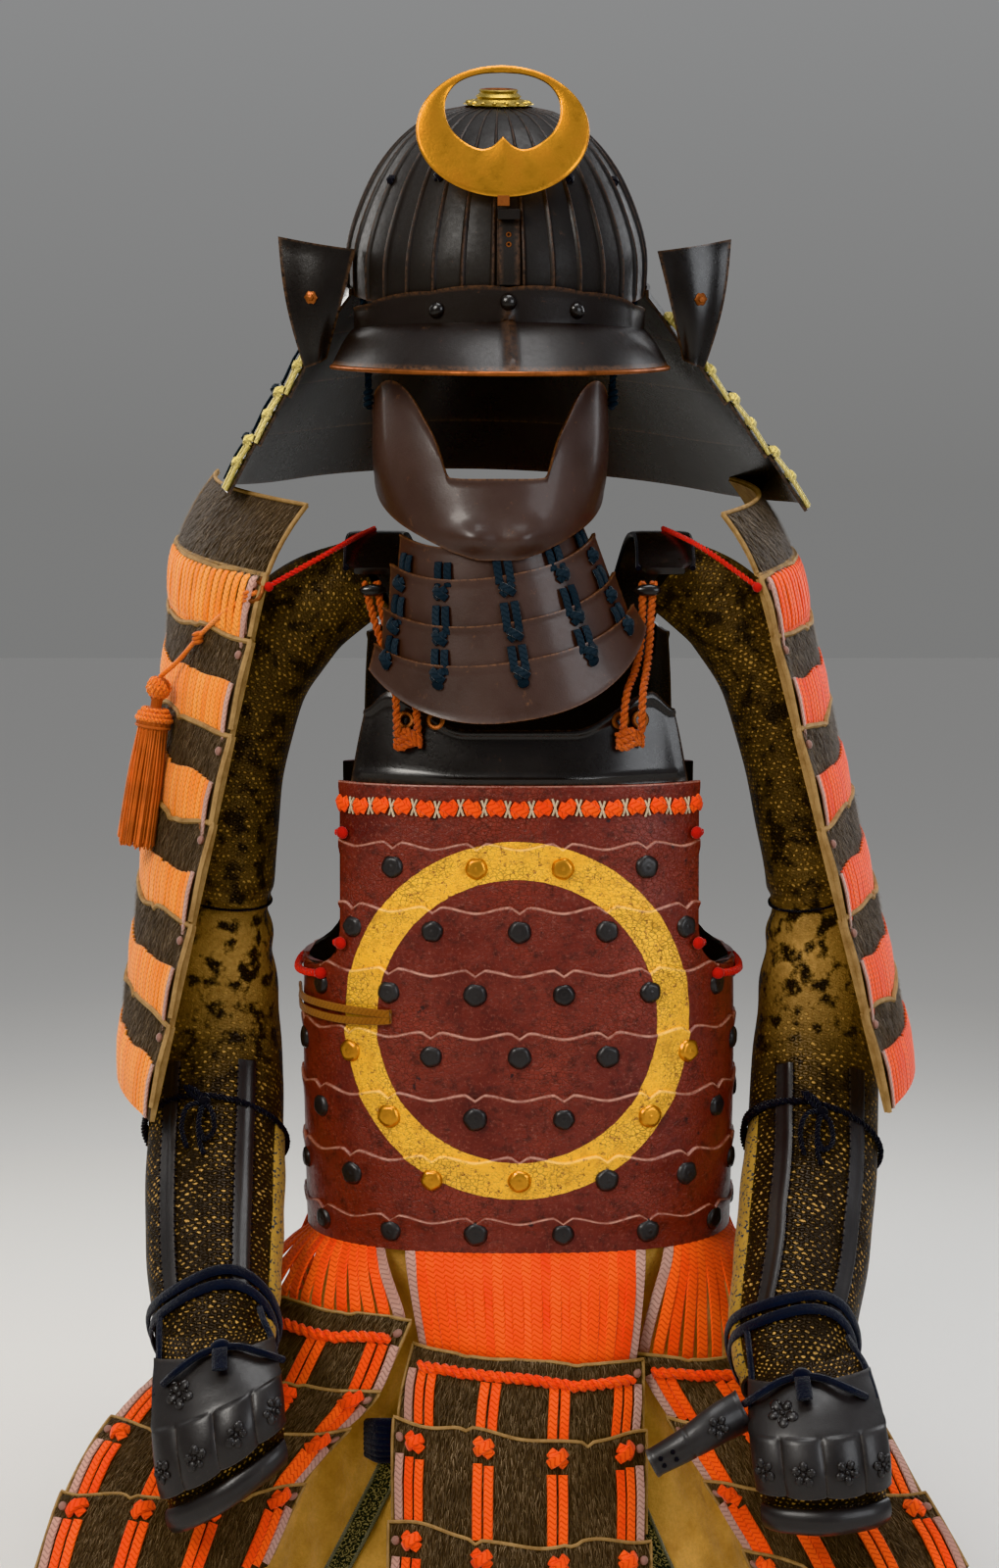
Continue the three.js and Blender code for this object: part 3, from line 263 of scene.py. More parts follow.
def sweep(shape, path, side, up, widths, heights, sides=8, slot=0, tone=0.0, power=1.0):
    """A tube along a path: an oval of the given half widths and half heights at each point."""
    path = np.asarray(path, float)
    count = len(path)
    angle = np.linspace(0, 2 * math.pi, sides, endpoint=False)
    c, s = np.cos(angle), np.sin(angle)
    c, s = np.sign(c) * np.abs(c) ** power, np.sign(s) * np.abs(s) ** power
    widths = np.broadcast_to(widths, (count,))[:, None, None]
    heights = np.broadcast_to(heights, (count,))[:, None, None]
    aside, above = side[:, None] * c[None, :, None] * widths, up[:, None] * s[None, :, None] * heights
    points = path[:, None] + aside + above
    points = np.concatenate([points.reshape(-1, 3), path[[0, -1]]])
    length = np.concatenate([[0], np.cumsum(np.linalg.norm(np.diff(path, axis=0), axis=1))]) * MM
    uv = np.stack(np.broadcast_arrays(angle[None] / (2 * math.pi), length[:, None]), -1).reshape(-1, 2)
    uv = np.concatenate([uv, [[0, 0], [0, length[-1]]]])
    first = shape.add(points, loop_faces(count, sides)[:, ::-1], slot, uv, tone)
    last = first + count * sides
    loop = np.arange(sides)
    after = (loop + 1) % sides
    shape.skin(np.stack([np.full(sides, last), first + after, first + loop], -1), slot)
    loop, after = loop + last - sides, after + last - sides
    shape.skin(np.stack([np.full(sides, last + 1), loop, after], -1), slot)


def tangents(path):
    return unit(np.gradient(np.asarray(path, float), axis=0))


def carried(path):
    """Side and up directions that turn as little as they can along a path."""
    t = tangents(path)
    up = np.cross(t[0], [0.3, 0.2, 1.0])
    ups = []
    for k in range(len(t)):
        up = unit(up - t[k] * (up @ t[k]))
        ups.append(up)
    ups = np.array(ups)
    return np.cross(ups, t), ups


def tube(shape, path, radius, sides=8, slot=0, tone=0.0):
    side, up = carried(path)
    sweep(shape, path, side, up, radius, radius, sides, slot, tone)


def ribbon(shape, path, normals, width, thick, slot=0, tone=0.0, sides=8, power=0.6):
    """A flat braid whose face looks along the normals."""
    t = tangents(path)
    side = unit(np.cross(t, normals))
    up = np.cross(side, t)
    sweep(shape, path, side, up, width / 2, thick / 2, sides, slot, tone, power)


def twist(shape, path, radius, pitch, slot=0, strands=2, sides=5, tone=0.0):
    """A cord of strands laid round each other."""
    path = np.asarray(path, float)
    length = np.concatenate([[0], np.cumsum(np.linalg.norm(np.diff(path, axis=0), axis=1))])
    count = max(8, int(length[-1] / pitch * 6))
    at = np.linspace(0, length[-1], count)
    path = np.stack([np.interp(at, length, path[:, k]) for k in range(3)], -1)
    side, up = carried(path)
    for k in range(strands):
        a = (2 * math.pi * (at / pitch + k / strands))[:, None]
        line = path + (side * np.cos(a) + up * np.sin(a)) * radius * 0.5
        tube(shape, line, radius * 0.56, sides, slot, tone)


def turned_grid(p, x, y, z, radius, angle, height):
    """Points round the axis z through p: a row for each height and a column for each angle."""
    around = p + (radius * np.cos(angle))[..., None] * x + (radius * np.sin(angle))[..., None] * y
    return around + (height * np.ones_like(angle))[..., None] * z


def blob(shape, p, x, y, z, slot=0, tone=0.0, columns=10, rows=6, lobes=0, dent=0.0):
    """An ellipsoid with the half axes x, y and z, or its lobed kin."""
    a = np.linspace(0, 2 * math.pi, columns, endpoint=False)[None]
    b = np.linspace(0.05, math.pi - 0.05, rows)[:, None]
    r = np.sin(b) * (1 + dent * np.cos(lobes * a)) if lobes else np.sin(b) * np.ones_like(a)
    points = turned_grid(p, x, y, z, r, a, np.cos(b))
    first = shape.add(points, loop_faces(rows, columns)[:, [0, 3, 2, 1]], slot, None, tone)
    shape.skin([[first + k for k in range(columns)]], slot)
    shape.skin([[first + (rows - 1) * columns + k for k in range(columns)][::-1]], slot)


def lathe(shape, p, x, y, z, profile, slot=0, sides=20, lobes=0, dent=0.0):
    """A turned piece: profile is rows of radius, height and share of the lobes' dent."""
    profile = np.asarray(profile, float)
    a = np.linspace(0, 2 * math.pi, sides, endpoint=False)[None]
    share = profile[:, 2:3] if profile.shape[1] > 2 else 1
    r = profile[:, :1] * (1 + dent * share * np.cos(lobes * a))
    shape.add(turned_grid(p, x, y, z, r, a, profile[:, 1:2]), loop_faces(len(profile), sides), slot)


def knot(shape, p, x, y, n, size, slot=0, tone=0.0):
    """Two short braids crossing over each other."""
    for k, (dx, dy) in enumerate(((1, 0.8), (1, -0.8))):
        t = np.linspace(-1, 1, 7)[:, None]
        rise = (0.22 + 0.14 * k) * size * (1 - t**2) - 0.05 * size
        line = p + (x * dx + y * dy) * t * size * 0.34 + n * rise
        normals = unit(n + (x * dx + y * dy) * t * 0.5)
        ribbon(shape, line, normals, size * 0.5, size * 0.26, slot, tone, 8)


def fur(shape, face, u_range, v_range, count, length, width, flip=False, lift=0.4, slot=0, raise_by=None):
    """Short hairs, each one narrow triangle, lying along +v."""
    u = rng.uniform(*u_range, count)
    v = rng.uniform(*v_range, count)
    p, du, dv, n = frame_at(face, u, v, flip)
    if raise_by is not None:
        p = p + n * raise_by(u, v)[:, None]
    long = (length * rng.uniform(0.55, 1.2, count))[:, None]
    lean = dv + du * rng.normal(0, 0.22, count)[:, None] + n * rng.uniform(0.05, lift, count)[:, None]
    half = du * (width * rng.uniform(0.6, 1.3, count) / 2)[:, None]
    points = np.stack([p - half, p + half, p + unit(lean) * long], 1)
    faces = np.arange(count * 3).reshape(-1, 3)
    shade = rng.uniform(0, 1, count)
    uv = np.stack([np.stack([shade, np.full(count, end)], -1) for end in (0, 0, 1)], 1)
    shape.add(points, faces, slot, uv, np.repeat(shade, 3))


# The ring of gold leaf on the cuirass's front: its centre, its radius and half its width, in millimetres
RING_X, RING_Z, RING_RADIUS, RING_HALF = -2, -377, 128, 15

# Materials


class Look:
    """A Principled material whose nodes are made in short calls."""

    def __init__(self, name, **values):
        self.material = bpy.data.materials.new(name)
        self.material.use_nodes = True
        self.nodes = self.material.node_tree.nodes
        self.links = self.material.node_tree.links
        self.shader = self.nodes["Principled BSDF"]
        for key, value in values.items():
            self.set(key.replace("_", " "), value)

    def set(self, key, value):
        socket = self.shader.inputs[key]
        if hasattr(value, "is_output"):
            self.links.new(value, socket)
        else:
            socket.default_value = (*value, 1) if isinstance(value, tuple) and len(value) == 3 else value
        return self

    def node(self, kind, values=(), **settings):
        node = self.nodes.new("ShaderNode" + kind)
        for key, value in settings.items():
            setattr(node, key, value)
        for key, value in dict(values).items():
            if hasattr(value, "is_output"):
                self.links.new(value, node.inputs[key])
            else:
                node.inputs[key].default_value = value
        return node

    def place(self, scale=(1, 1, 1), uv=False, shift=(0, 0, 0)):
        source = self.node("UVMap", uv_map="mm") if uv else self.node("TexCoord")
        vector = source.outputs["UV" if uv else "Object"]
        return self.node("Mapping", {"Vector": vector, "Scale": scale, "Location": shift}).outputs[0]

    def uv_parts(self):
        parts = self.node("SeparateXYZ", {"Vector": self.node("UVMap", uv_map="mm").outputs[0]})
        return parts.outputs[0], parts.outputs[1]

    def tone(self):
        return self.node("Attribute", attribute_name="tone").outputs["Fac"]

    def noise(self, size, detail=3, vector=None, rough=0.55, distortion=0.0):
        """Noise whose features are about size metres wide, or 1 / size per unit of a scaled vector."""
        values = {"Scale": 1 / size, "Detail": detail, "Roughness": rough, "Distortion": distortion}
        values["Vector"] = vector or self.node("TexCoord").outputs["Object"]
        return self.node("TexNoise", values).outputs["Fac"]

    def cells(self, size, feature="F1", vector=None, randomness=1.0):
        values = {"Scale": 1 / size, "Randomness": randomness}
        values["Vector"] = vector or self.node("TexCoord").outputs["Object"]
        return self.node("TexVoronoi", values, feature=feature).outputs["Distance"]

    def math(self, operation, a, b=0.0, c=0.0, clamp=False):
        return self.node("Math", {0: a, 1: b, 2: c}, operation=operation, use_clamp=clamp).outputs[0]

    def ramp(self, fac, *stops):
        """Colour or grey against fac: stops are (place, grey or colour)."""
        node = self.node("ValToRGB", {"Fac": fac})
        elements = node.color_ramp.elements
        while len(elements) < len(stops):
            elements.new(0.5)
        for element, (place, value) in zip(elements, stops):
            element.position = place
            element.color = (*value, 1) if isinstance(value, tuple) else (value, value, value, 1)
        return node.outputs["Color"]

    def blend(self, fac, a, b, kind="MIX"):
        a, b = ((*x, 1) if isinstance(x, tuple) else x for x in (a, b))
        node = self.node("Mix", {0: fac, 6: a, 7: b}, data_type="RGBA", blend_type=kind)
        return node.outputs[2]

    def bump(self, height, distance, strength=1.0, under=None):
        values = {"Height": height, "Distance": distance, "Strength": strength}
        if under is not None:
            values["Normal"] = under
        return self.node("Bump", values).outputs["Normal"]


def lacquer(name, color, worn, rough=0.3, wear=0.5, coat=0.4):
    """Lacquered iron: soft cloudy gloss, fine pits, and brown where the edges are worn."""
    look = Look(name, Metallic=0.0, Coat_Weight=coat, Coat_Roughness=0.18)
    cloud = look.noise(0.05, 4)
    grain = look.noise(0.0035, 5, rough=0.7)
    pits = look.noise(0.0012, 2)
    rub = look.math("MULTIPLY", look.tone(), look.ramp(grain, (0.38, 0.0), (0.6, 1.0)))
    spots = look.ramp(look.noise(0.011, 6, rough=0.75), (0.62, 0.0), (0.74, wear))
    mask = look.math("MAXIMUM", rub, spots)
    dark = look.blend(cloud, tuple(0.6 * c for c in color), tuple(1.5 * c for c in color))
    look.set("Base Color", look.blend(mask, dark, worn))
    look.set("Roughness", look.ramp(look.blend(0.5, cloud, grain), (0.3, rough * 0.75), (0.7, rough * 1.5)))
    look.set("Normal", look.bump(look.blend(0.4, grain, pits), 0.0006, 0.35, look.bump(cloud, 0.004, 0.12)))
    return look.material


def metal(name, color, tarnish, rough=0.3, amount=0.5):
    look = Look(name, Metallic=1.0)
    cloud = look.noise(0.02, 5, rough=0.65)
    fine = look.noise(0.0016, 4)
    mask = look.ramp(cloud, (0.45, 0.0), (0.7, amount))
    look.set("Base Color", look.blend(mask, color, tarnish))
    look.set("Roughness", look.ramp(cloud, (0.3, rough * 0.8), (0.75, rough * 1.7)))
    look.set("Normal", look.bump(fine, 0.0004, 0.3, look.bump(cloud, 0.003, 0.15)))
    return look.material


def braid(name, color, pale, pitch=0.0042, rough=0.75, across=3.0):
    """Braided silk: slanting plaits that meet on the middle line, a little faded here and there."""
    look = Look(name, Sheen_Weight=0.35, Sheen_Roughness=0.4, Specular_IOR_Level=0.25)
    u, v = look.uv_parts()
    fold = look.math("PINGPONG", look.math("MULTIPLY", u, across), 0.5)
    slant = look.math("ADD", look.math("DIVIDE", v, pitch), look.math("MULTIPLY", fold, 1.6))
    plait = look.math("PINGPONG", slant, 0.5)
    groove = look.ramp(look.math("MULTIPLY", plait, 2.0), (0.0, 0.0), (0.45, 1.0))
    fibre = look.noise(0.0007, 2)
    fade = look.noise(0.03, 3)
    tinted = look.blend(look.ramp(fade, (0.4, 0.0), (0.75, 0.7)), color, pale)
    tinted = look.blend(look.tone(), tinted, tuple(min(1, 1.25 * c + 0.005) for c in pale))
    # Painted shade: the colour darkens to 0.72 of itself in the grooves between the plaits
    shaded = look.blend(groove, tuple(0.72 * c for c in color), tinted)
    look.set("Base Color", shaded)
    look.set("Roughness", rough)
    look.set("Normal", look.bump(fibre, 0.0004, 0.4, look.bump(groove, 0.0005, 0.4)))
    return look.material


def hair(name, root, tip):
    look = Look(name, Roughness=0.65, Specular_IOR_Level=0.3, Sheen_Weight=0.15)
    shade, place = look.uv_parts()
    streak = look.ramp(shade, (0.0, tuple(0.5 * c for c in root)), (0.55, root), (1.0, tip))
    patch = look.noise(0.022, 3)
    streak = look.blend(look.ramp(patch, (0.4, 0.0), (0.7, 0.65)), streak, tuple(0.35 * c for c in root))
    look.set("Base Color", look.blend(look.math("MULTIPLY", place, 0.35), streak, tip))
    return look.material


def hide(name, dark, pale, scale=(700, 60, 1)):
    """Short-haired hide: streaks that run down it, dark at the roots."""
    look = Look(name, Specular_IOR_Level=0.25, Sheen_Weight=0.1)
    streak = look.noise(1, 4, look.place(scale, uv=True), rough=0.7)
    patch = look.noise(0.02, 4)
    color = look.ramp(streak, (0.35, tuple(0.3 * c for c in dark)), (0.52, dark), (0.72, pale))
    color = look.blend(look.ramp(patch, (0.35, 0.0), (0.65, 0.6)), color, tuple(0.45 * c for c in dark))
    look.set("Base Color", color)
    look.set("Roughness", 0.8)
    look.set("Normal", look.bump(streak, 0.0015, 0.8))
    return look.material


def buff(name, color, dark):
    """Soft leather edging."""
    look = Look(name, Specular_IOR_Level=0.3)
    cloud = look.noise(0.014, 5, rough=0.7)
    grain = look.noise(0.0011, 4)
    look.set("Base Color", look.blend(look.ramp(cloud, (0.4, 0.0), (0.7, 0.8)), color, dark))
    look.set("Roughness", look.ramp(grain, (0.3, 0.6), (0.7, 0.85)))
    look.set("Normal", look.bump(grain, 0.0006, 0.5, look.bump(cloud, 0.002, 0.3)))
    return look.material


def woven(name, color, shade, thread=0.0009, folds=0.3):
    """Plain cloth, its threads crossing, with soft stains."""
    look = Look(name, Sheen_Weight=0.3, Sheen_Roughness=0.5, Specular_IOR_Level=0.2)
    u, v = look.uv_parts()
    warp = look.math("SINE", look.math("MULTIPLY", u, 2 * math.pi / thread))
    weft = look.math("SINE", look.math("MULTIPLY", v, 2 * math.pi / thread))
    cross = look.math("MULTIPLY", warp, weft)
    cloud = look.noise(0.03, 5, rough=0.65)
    fuzz = look.noise(0.0025, 4)
    tinted = look.blend(look.ramp(cloud, (0.35, 0.0), (0.7, 0.9)), color, shade)
    look.set("Base Color", look.blend(look.ramp(fuzz, (0.3, 0.35), (0.7, 0.0)), tinted, shade))
    look.set("Roughness", 0.9)
    look.set("Normal", look.bump(cross, 0.0003, 0.5, look.bump(fuzz, 0.0012, folds)))
    return look.material


def leather_facing():
    """Red-brown leather with fine cracks and dark worn spots, a broad ring of gold leaf, and a pale line on
    each lame's top lip that is part wear and part painted highlight.
    """
    look = Look("leather_facing", Coat_Weight=0.35, Coat_Roughness=0.3)
    cloud = look.noise(0.06, 5, rough=0.6)
    mottle = look.noise(0.009, 6, rough=0.7)
    crack = look.cells(0.0042, "DISTANCE_TO_EDGE", look.place((1, 1, 1.4)))
    lines = look.ramp(crack, (0.0, 1.0), (0.09, 0.0))
    some = look.math("MULTIPLY", lines, look.ramp(cloud, (0.42, 0.0), (0.6, 1.0)))
    red = look.blend(look.ramp(cloud, (0.3, 0.0), (0.72, 1.0)), (0.085, 0.007, 0.004), (0.25, 0.04, 0.024))
    red = look.blend(look.ramp(mottle, (0.5, 0.0), (0.68, 0.85)), red, (0.04, 0.007, 0.005))
    scuff = look.ramp(look.noise(0.0028, 6, rough=0.8), (0.54, 0.0), (0.66, 0.55))
    red = look.blend(scuff, red, (0.4, 0.14, 0.1))
    spot = look.ramp(look.noise(0.013, 3, rough=0.5), (0.7, 0.0), (0.73, 0.9))
    red = look.blend(spot, red, (0.018, 0.012, 0.014))
    u, v = look.uv_parts()
    dx = look.math("ADD", u, -RING_X * MM)
    dz = look.math("ADD", v, -RING_Z * MM)
    radius = look.math("SQRT", look.math("ADD", look.math("POWER", dx, 2.0), look.math("POWER", dz, 2.0)))
    ragged = look.math("ADD", radius, look.math("MULTIPLY", look.math("SUBTRACT", mottle, 0.5), 0.0022))
    off = look.math("ABSOLUTE", look.math("SUBTRACT", ragged, RING_RADIUS * MM))
    leaf = look.math("LESS_THAN", off, RING_HALF * MM)
    kept = look.ramp(look.noise(0.0045, 6, rough=0.8), (0.36, 0.12), (0.46, 1.0))
    leaf = look.math("MULTIPLY", leaf, kept)
    gold = look.blend(cloud, (0.9, 0.42, 0.035), (1.0, 0.62, 0.1))
    gold = look.blend(look.ramp(mottle, (0.52, 0.0), (0.7, 0.6)), gold, (0.42, 0.15, 0.02))
    color = look.blend(leaf, red, gold)
    color = look.blend(look.math("MULTIPLY", some, 0.5), color, (0.03, 0.01, 0.006))
    # Pale line on each lame's top lip: partly wear, partly a painted highlight where the polished edge would
    # catch the light
    lip_wear_and_highlight = look.math("MULTIPLY", look.tone(), look.ramp(mottle, (0.34, 0.25), (0.6, 1.0)))
    pale = look.blend(leaf, (0.55, 0.27, 0.2), (0.95, 0.6, 0.2))
    look.set("Base Color", look.blend(lip_wear_and_highlight, color, pale))
    look.set("Metallic", look.math("MULTIPLY", leaf, 0.25))
    look.set("Roughness", look.ramp(mottle, (0.3, 0.28), (0.7, 0.55)))
    height = look.math("SUBTRACT", look.noise(0.0024, 4), look.math("MULTIPLY", some, 0.8))
    look.set("Normal", look.bump(height, 0.0012, 0.6, look.bump(mottle, 0.0026, 0.4)))
    return look.material


def mail_on_cloth():
    """Close iron mail on tan cloth: the cloth shows through it as dots, and wider where links are worn."""
    look = Look("mail_on_cloth")
    pitch = 0.0052
    u, v = look.uv_parts()
    row = look.math("DIVIDE", v, pitch * 0.8)
    odd = look.math("MULTIPLY", look.math("MODULO", look.math("FLOOR", row), 2.0), 0.5)
    column = look.math("ADD", look.math("DIVIDE", u, pitch), odd)
    stray = look.math("MULTIPLY", look.math("SUBTRACT", look.noise(0.0035, 2), 0.5), 0.9)
    dx = look.math("ADD", look.math("SUBTRACT", look.math("FRACT", column), 0.5), stray)
    dy = look.math("SUBTRACT", look.math("FRACT", row), look.math("ADD", stray, 0.5))
    far = look.math("SQRT", look.math("ADD", look.math("MULTIPLY", dx, dx), look.math("MULTIPLY", dy, dy)))
    wide = look.noise(0.016, 4, rough=0.6)
    reach = look.math("ADD", 0.24, look.math("MULTIPLY", look.math("SUBTRACT", wide, 0.5), 0.7))
    hole = look.ramp(look.math("SUBTRACT", reach, far), (0.0, 0.0), (0.06, 1.0))
    bare = look.math("MULTIPLY", look.tone(), look.ramp(look.noise(0.016, 4), (0.4, 0.0), (0.5, 1.0)))
    lost = look.ramp(look.noise(0.0052, 2), (0.4, 0.0), (0.56, 1.0))
    seen = look.math("MULTIPLY", look.math("MULTIPLY", hole, lost), look.ramp(wide, (0.36, 0.3), (0.56, 1.0)))
    cloth = look.math("MAXIMUM", seen, bare)
    tan = look.blend(look.noise(0.004, 4), (0.26, 0.13, 0.035), (0.78, 0.48, 0.17))
    iron = look.blend(look.noise(0.003, 3), (0.008, 0.007, 0.006), (0.06, 0.045, 0.033))
    link = look.ramp(far, (0.22, 0.0), (0.36, 1.0), (0.5, 0.3))
    look.set("Base Color", look.blend(cloth, iron, tan))
    look.set("Metallic", look.math("MULTIPLY", look.math("SUBTRACT", 1.0, cloth), 0.55))
    look.set("Roughness", look.blend(cloth, (0.42, 0.42, 0.42), (0.95, 0.95, 0.95)))
    height = look.math("MULTIPLY", link, look.math("SUBTRACT", 1.0, look.math("MULTIPLY", bare, 0.8)))
    look.set("Normal", look.bump(height, 0.0016, 0.9))
    return look.material


def figured(name, ground, figure, size, share=0.35, sheen=0.2, shine=0.0):
    """Cloth with a small woven figure of rings and leaves."""
    look = Look(name, Sheen_Weight=sheen, Specular_IOR_Level=0.3)
    place = look.place(uv=True)
    rings = look.cells(size, "F1", place, 0.35)
    band = look.ramp(look.math("PINGPONG", look.math("MULTIPLY", rings, 3.2), 0.5), (0.2, 0.0), (0.26, 1.0))
    leaves = look.noise(size * 0.45, 2, place)
    mask = look.math("MULTIPLY", band, look.ramp(leaves, (share, 0.0), (share + 0.05, 1.0)))
    cloud = look.noise(0.02, 4)
    base = look.blend(cloud, ground, tuple(0.55 * c for c in ground))
    look.set("Base Color", look.blend(mask, base, figure))
    look.set("Metallic", look.math("MULTIPLY", mask, shine))
    look.set("Roughness", 0.75)
    look.set("Normal", look.bump(mask, 0.0005, 0.6, look.bump(look.noise(0.0012, 3), 0.0005, 0.4)))
    return look.material


BLACK = lacquer("black_lacquer", (0.012, 0.0105, 0.01), (0.11, 0.06, 0.035), 0.27, 0.25, 0.5)
BOWL_BLACK = lacquer("bowl_lacquer", (0.013, 0.011, 0.01), (0.1, 0.056, 0.037), 0.5, 0.6, 0.06)
IRON = lacquer("dark_iron", (0.013, 0.01, 0.009), (0.12, 0.056, 0.028), 0.4, 0.9, 0.15)
RUSSET = lacquer("russet_lacquer", (0.058, 0.035, 0.029), (0.24, 0.11, 0.055), 0.4, 0.6, 0.3)
HAND_BLACK = lacquer("hand_lacquer", (0.028, 0.026, 0.026), (0.1, 0.085, 0.075), 0.38, 0.3, 0.2)
LINING = woven("dark_lining", (0.012, 0.011, 0.011), (0.02, 0.016, 0.013))
GILT = metal("gilt", (0.72, 0.34, 0.065), (0.34, 0.13, 0.03), 0.3, 0.65)
FITTING = metal("gilt_fitting", (0.55, 0.4, 0.12), (0.16, 0.12, 0.05), 0.34, 0.8)
COPPER = metal("copper", (0.36, 0.13, 0.055), (0.11, 0.045, 0.025), 0.38, 0.85)
LEATHER = leather_facing()
MAIL = mail_on_cloth()
ORANGE = braid("orange_lace", (0.86, 0.065, 0.01), (0.95, 0.15, 0.025))
FADED = braid("faded_lace", (0.88, 0.24, 0.035), (0.95, 0.38, 0.1))
RED = braid("red_cord", (0.6, 0.015, 0.008), (0.7, 0.05, 0.02))
RUST = braid("rust_cord", (0.45, 0.085, 0.018), (0.6, 0.17, 0.05), 0.003)
PINK = braid("pink_lace", (0.44, 0.24, 0.19), (0.55, 0.36, 0.3))
NAVY = braid("navy_lace", (0.01, 0.017, 0.024), (0.026, 0.036, 0.046))
YELLOW = braid("yellow_lace", (0.5, 0.4, 0.12), (0.62, 0.52, 0.24), 0.005)
BROWN = braid("brown_cord", (0.24, 0.085, 0.012), (0.34, 0.15, 0.03), 0.004)
INK = braid("black_cord", (0.008, 0.008, 0.011), (0.016, 0.018, 0.026), 0.003)
FUR = hair("fur", (0.055, 0.036, 0.022), (0.3, 0.21, 0.13))
HIDE = hide("hide", (0.06, 0.038, 0.022), (0.26, 0.18, 0.11))
BUFF = buff("leather_edging", (0.4, 0.25, 0.11), (0.2, 0.11, 0.045))
TAN = woven("tan_cloth", (0.85, 0.5, 0.15), (0.5, 0.25, 0.055), 0.0012, 0.9)
NAVY_CLOTH = woven("navy_cloth", (0.006, 0.009, 0.02), (0.003, 0.004, 0.009), 0.0012, 0.6)
PIPING = braid("piping", (0.2, 0.19, 0.13), (0.34, 0.33, 0.24), 0.003)
SILK = hair("tassel_silk", (0.78, 0.19, 0.045), (0.9, 0.36, 0.13))
CORD = braid("tassel_cord", (0.78, 0.2, 0.045), (0.9, 0.42, 0.16), 0.0035)
CREAM = braid("cream_thread", (0.6, 0.48, 0.33), (0.75, 0.64, 0.47), 0.003)
BROCADE = figured("brocade", (0.012, 0.018, 0.014), (0.3, 0.25, 0.12), 0.006, 0.45)
OCHRE = figured("ochre_print", (0.5, 0.29, 0.06), (0.04, 0.05, 0.06), 0.008, 0.52)

SIDES = (("left", -1), ("right", 1))
HEAD = turned("z", 4, (-19, 0, 0))
HELMET = HEAD @ turned("x", 11, (0, -5, 200))
FACE = HEAD @ turned("z", 0, (-8, 0, 0))
THROAT = HEAD @ turned("y", -8.5, (-9, -50, -4))


def placed(face, matrix):
    return lambda u, v: moved(face(u, v), matrix)


# Helmet

BOWL = np.array([[0, 119.5], [36, 118.9], [72, 107.5], [104, 90], [128, 68], [142, 42], [146, 19]], float)
RIBS = 32
RIB_STEP = 2 * math.pi / RIBS


def bowl(angle, h):
    side = along(BOWL, 1, h)
    return vec(side * np.sin(angle), -1.13 * side * np.cos(angle), h)


def rib_place(angle):
    return np.abs((angle / RIB_STEP) % 1 - 0.5) * RIB_STEP


def rib_fade(h):
    return smooth((h + 6) / 12) * mix(1, 0.35, smooth((h - 90) / 50))


def bowl_relief(angle, h):
    place = rib_place(angle)
    rib = np.clip(1 - place / rad(1.15), 0, 1) ** 0.6
    swell = 0.8 * np.sin(np.clip(place / RIB_STEP * 2, 0, 1) * math.pi / 2) ** 2
    return (2.3 * rib + 0.5 * swell - 0.3) * rib_fade(h)


def make_bowl():
    shape = Shape()
    offsets = rad(1) * np.array([-1.15, -0.75, -0.35, 0, 0.35, 0.75, 1.15, 3.6, 7.6])
    angles = ((np.arange(RIBS)[:, None] + 0.5) * RIB_STEP + offsets).ravel()
    angles = np.append(angles, angles[0] + 2 * math.pi)
    heights = np.concatenate([[0, 0.6, 2], np.linspace(6, 98, 14), np.linspace(104, 145, 12), [146]])
    face = placed(bowl, HELMET)

    def tone(angle, h):
        return np.clip(1 - rib_place(angle) / rad(0.7), 0, 1) * 0.9 + smooth((3 - h) / 3) * 0.7

    wall(shape, face, angles, heights, 2, bowl_relief, slots=(0, 1, 0), tone=tone, loop=True)
    # Small cord knots near the crown and at the sides
    for angle, h in ((-33, 98), (31, 98), (-62, 92), (64, 92), (148, 98), (-148, 98)):
        p, x, y, n = spot(face, rad(angle), h)
        knot(shape, p + n * 0.6, x, y, n, 9, 2)
    shape.stand_for("helmet_bowl", "lacquered", BOWL_BLACK, LINING, INK, slot="black_lacquer", weld=True)


make_bowl()


def make_top_fitting():
    shape = Shape()
    centre = moved(np.array([0.0, 0, 0]), HELMET)
    x, y, z = (HELMET[:3, k] for k in range(3))
    skirt = [
        (10.4, 147.4, 0), (27, 147.2, 1), (27, 148, 1), (24, 149.2, 1), (19.5, 150.4, 0.2), (18.5, 151.5, 0),
    ]
    stack = [(16.5, 152, 0), (18.2, 153.4, 0), (16.4, 155, 0), (14.6, 156.6, 0), (15.6, 158, 0), (14.6, 159, 0)]
    hole = [(12.2, 159.3, 0), (11, 158.6, 0), (10.6, 154, 0), (10.4, 147.4, 0)]
    lathe(shape, centre, x, y, z, skirt + stack, 0, 64, 16, 0.035)
    lathe(shape, centre, x, y, z, [stack[-1]] + hole, 1, 64)
    for k in range(16):
        a = (k + 0.5) * math.pi / 8
        out = x * math.cos(a) + y * math.sin(a)
        blob(shape, centre + out * 23.2 + z * 149, out * 3.4, np.cross(z, out) * 2.1, z * 1.5, 0, 0, 8, 5)
    shape.make("helmet_top_gilt", FITTING, COPPER, replaces="helmet_top_fitting", slot="brass", weld=True)


make_top_fitting()

VISOR_HALF = rad(70)


def visor(angle, v):
    aside = (1 - np.cos(angle)) / (1 - math.cos(VISOR_HALF))
    wave = 2.2 * np.abs(np.sin(angle * 6.2)) ** 0.7 * np.clip(1 - v / 0.2, 0, 1)
    top = 20 - 30 * aside + wave
    bend = -6 - 18 * aside
    rim = -36 - 14 * aside
    out = np.clip((v - 0.4) / 0.6, 0, 1)
    width = mix(123.3, 142, out**0.9)
    length = mix(139.4, 190, out**0.9)
    z = np.where(v <= 0.4, mix(top, bend, np.clip(v / 0.4, 0, 1)), mix(bend, rim, out**1.3))
    return vec(width * np.sin(angle), -length * np.cos(angle), z)


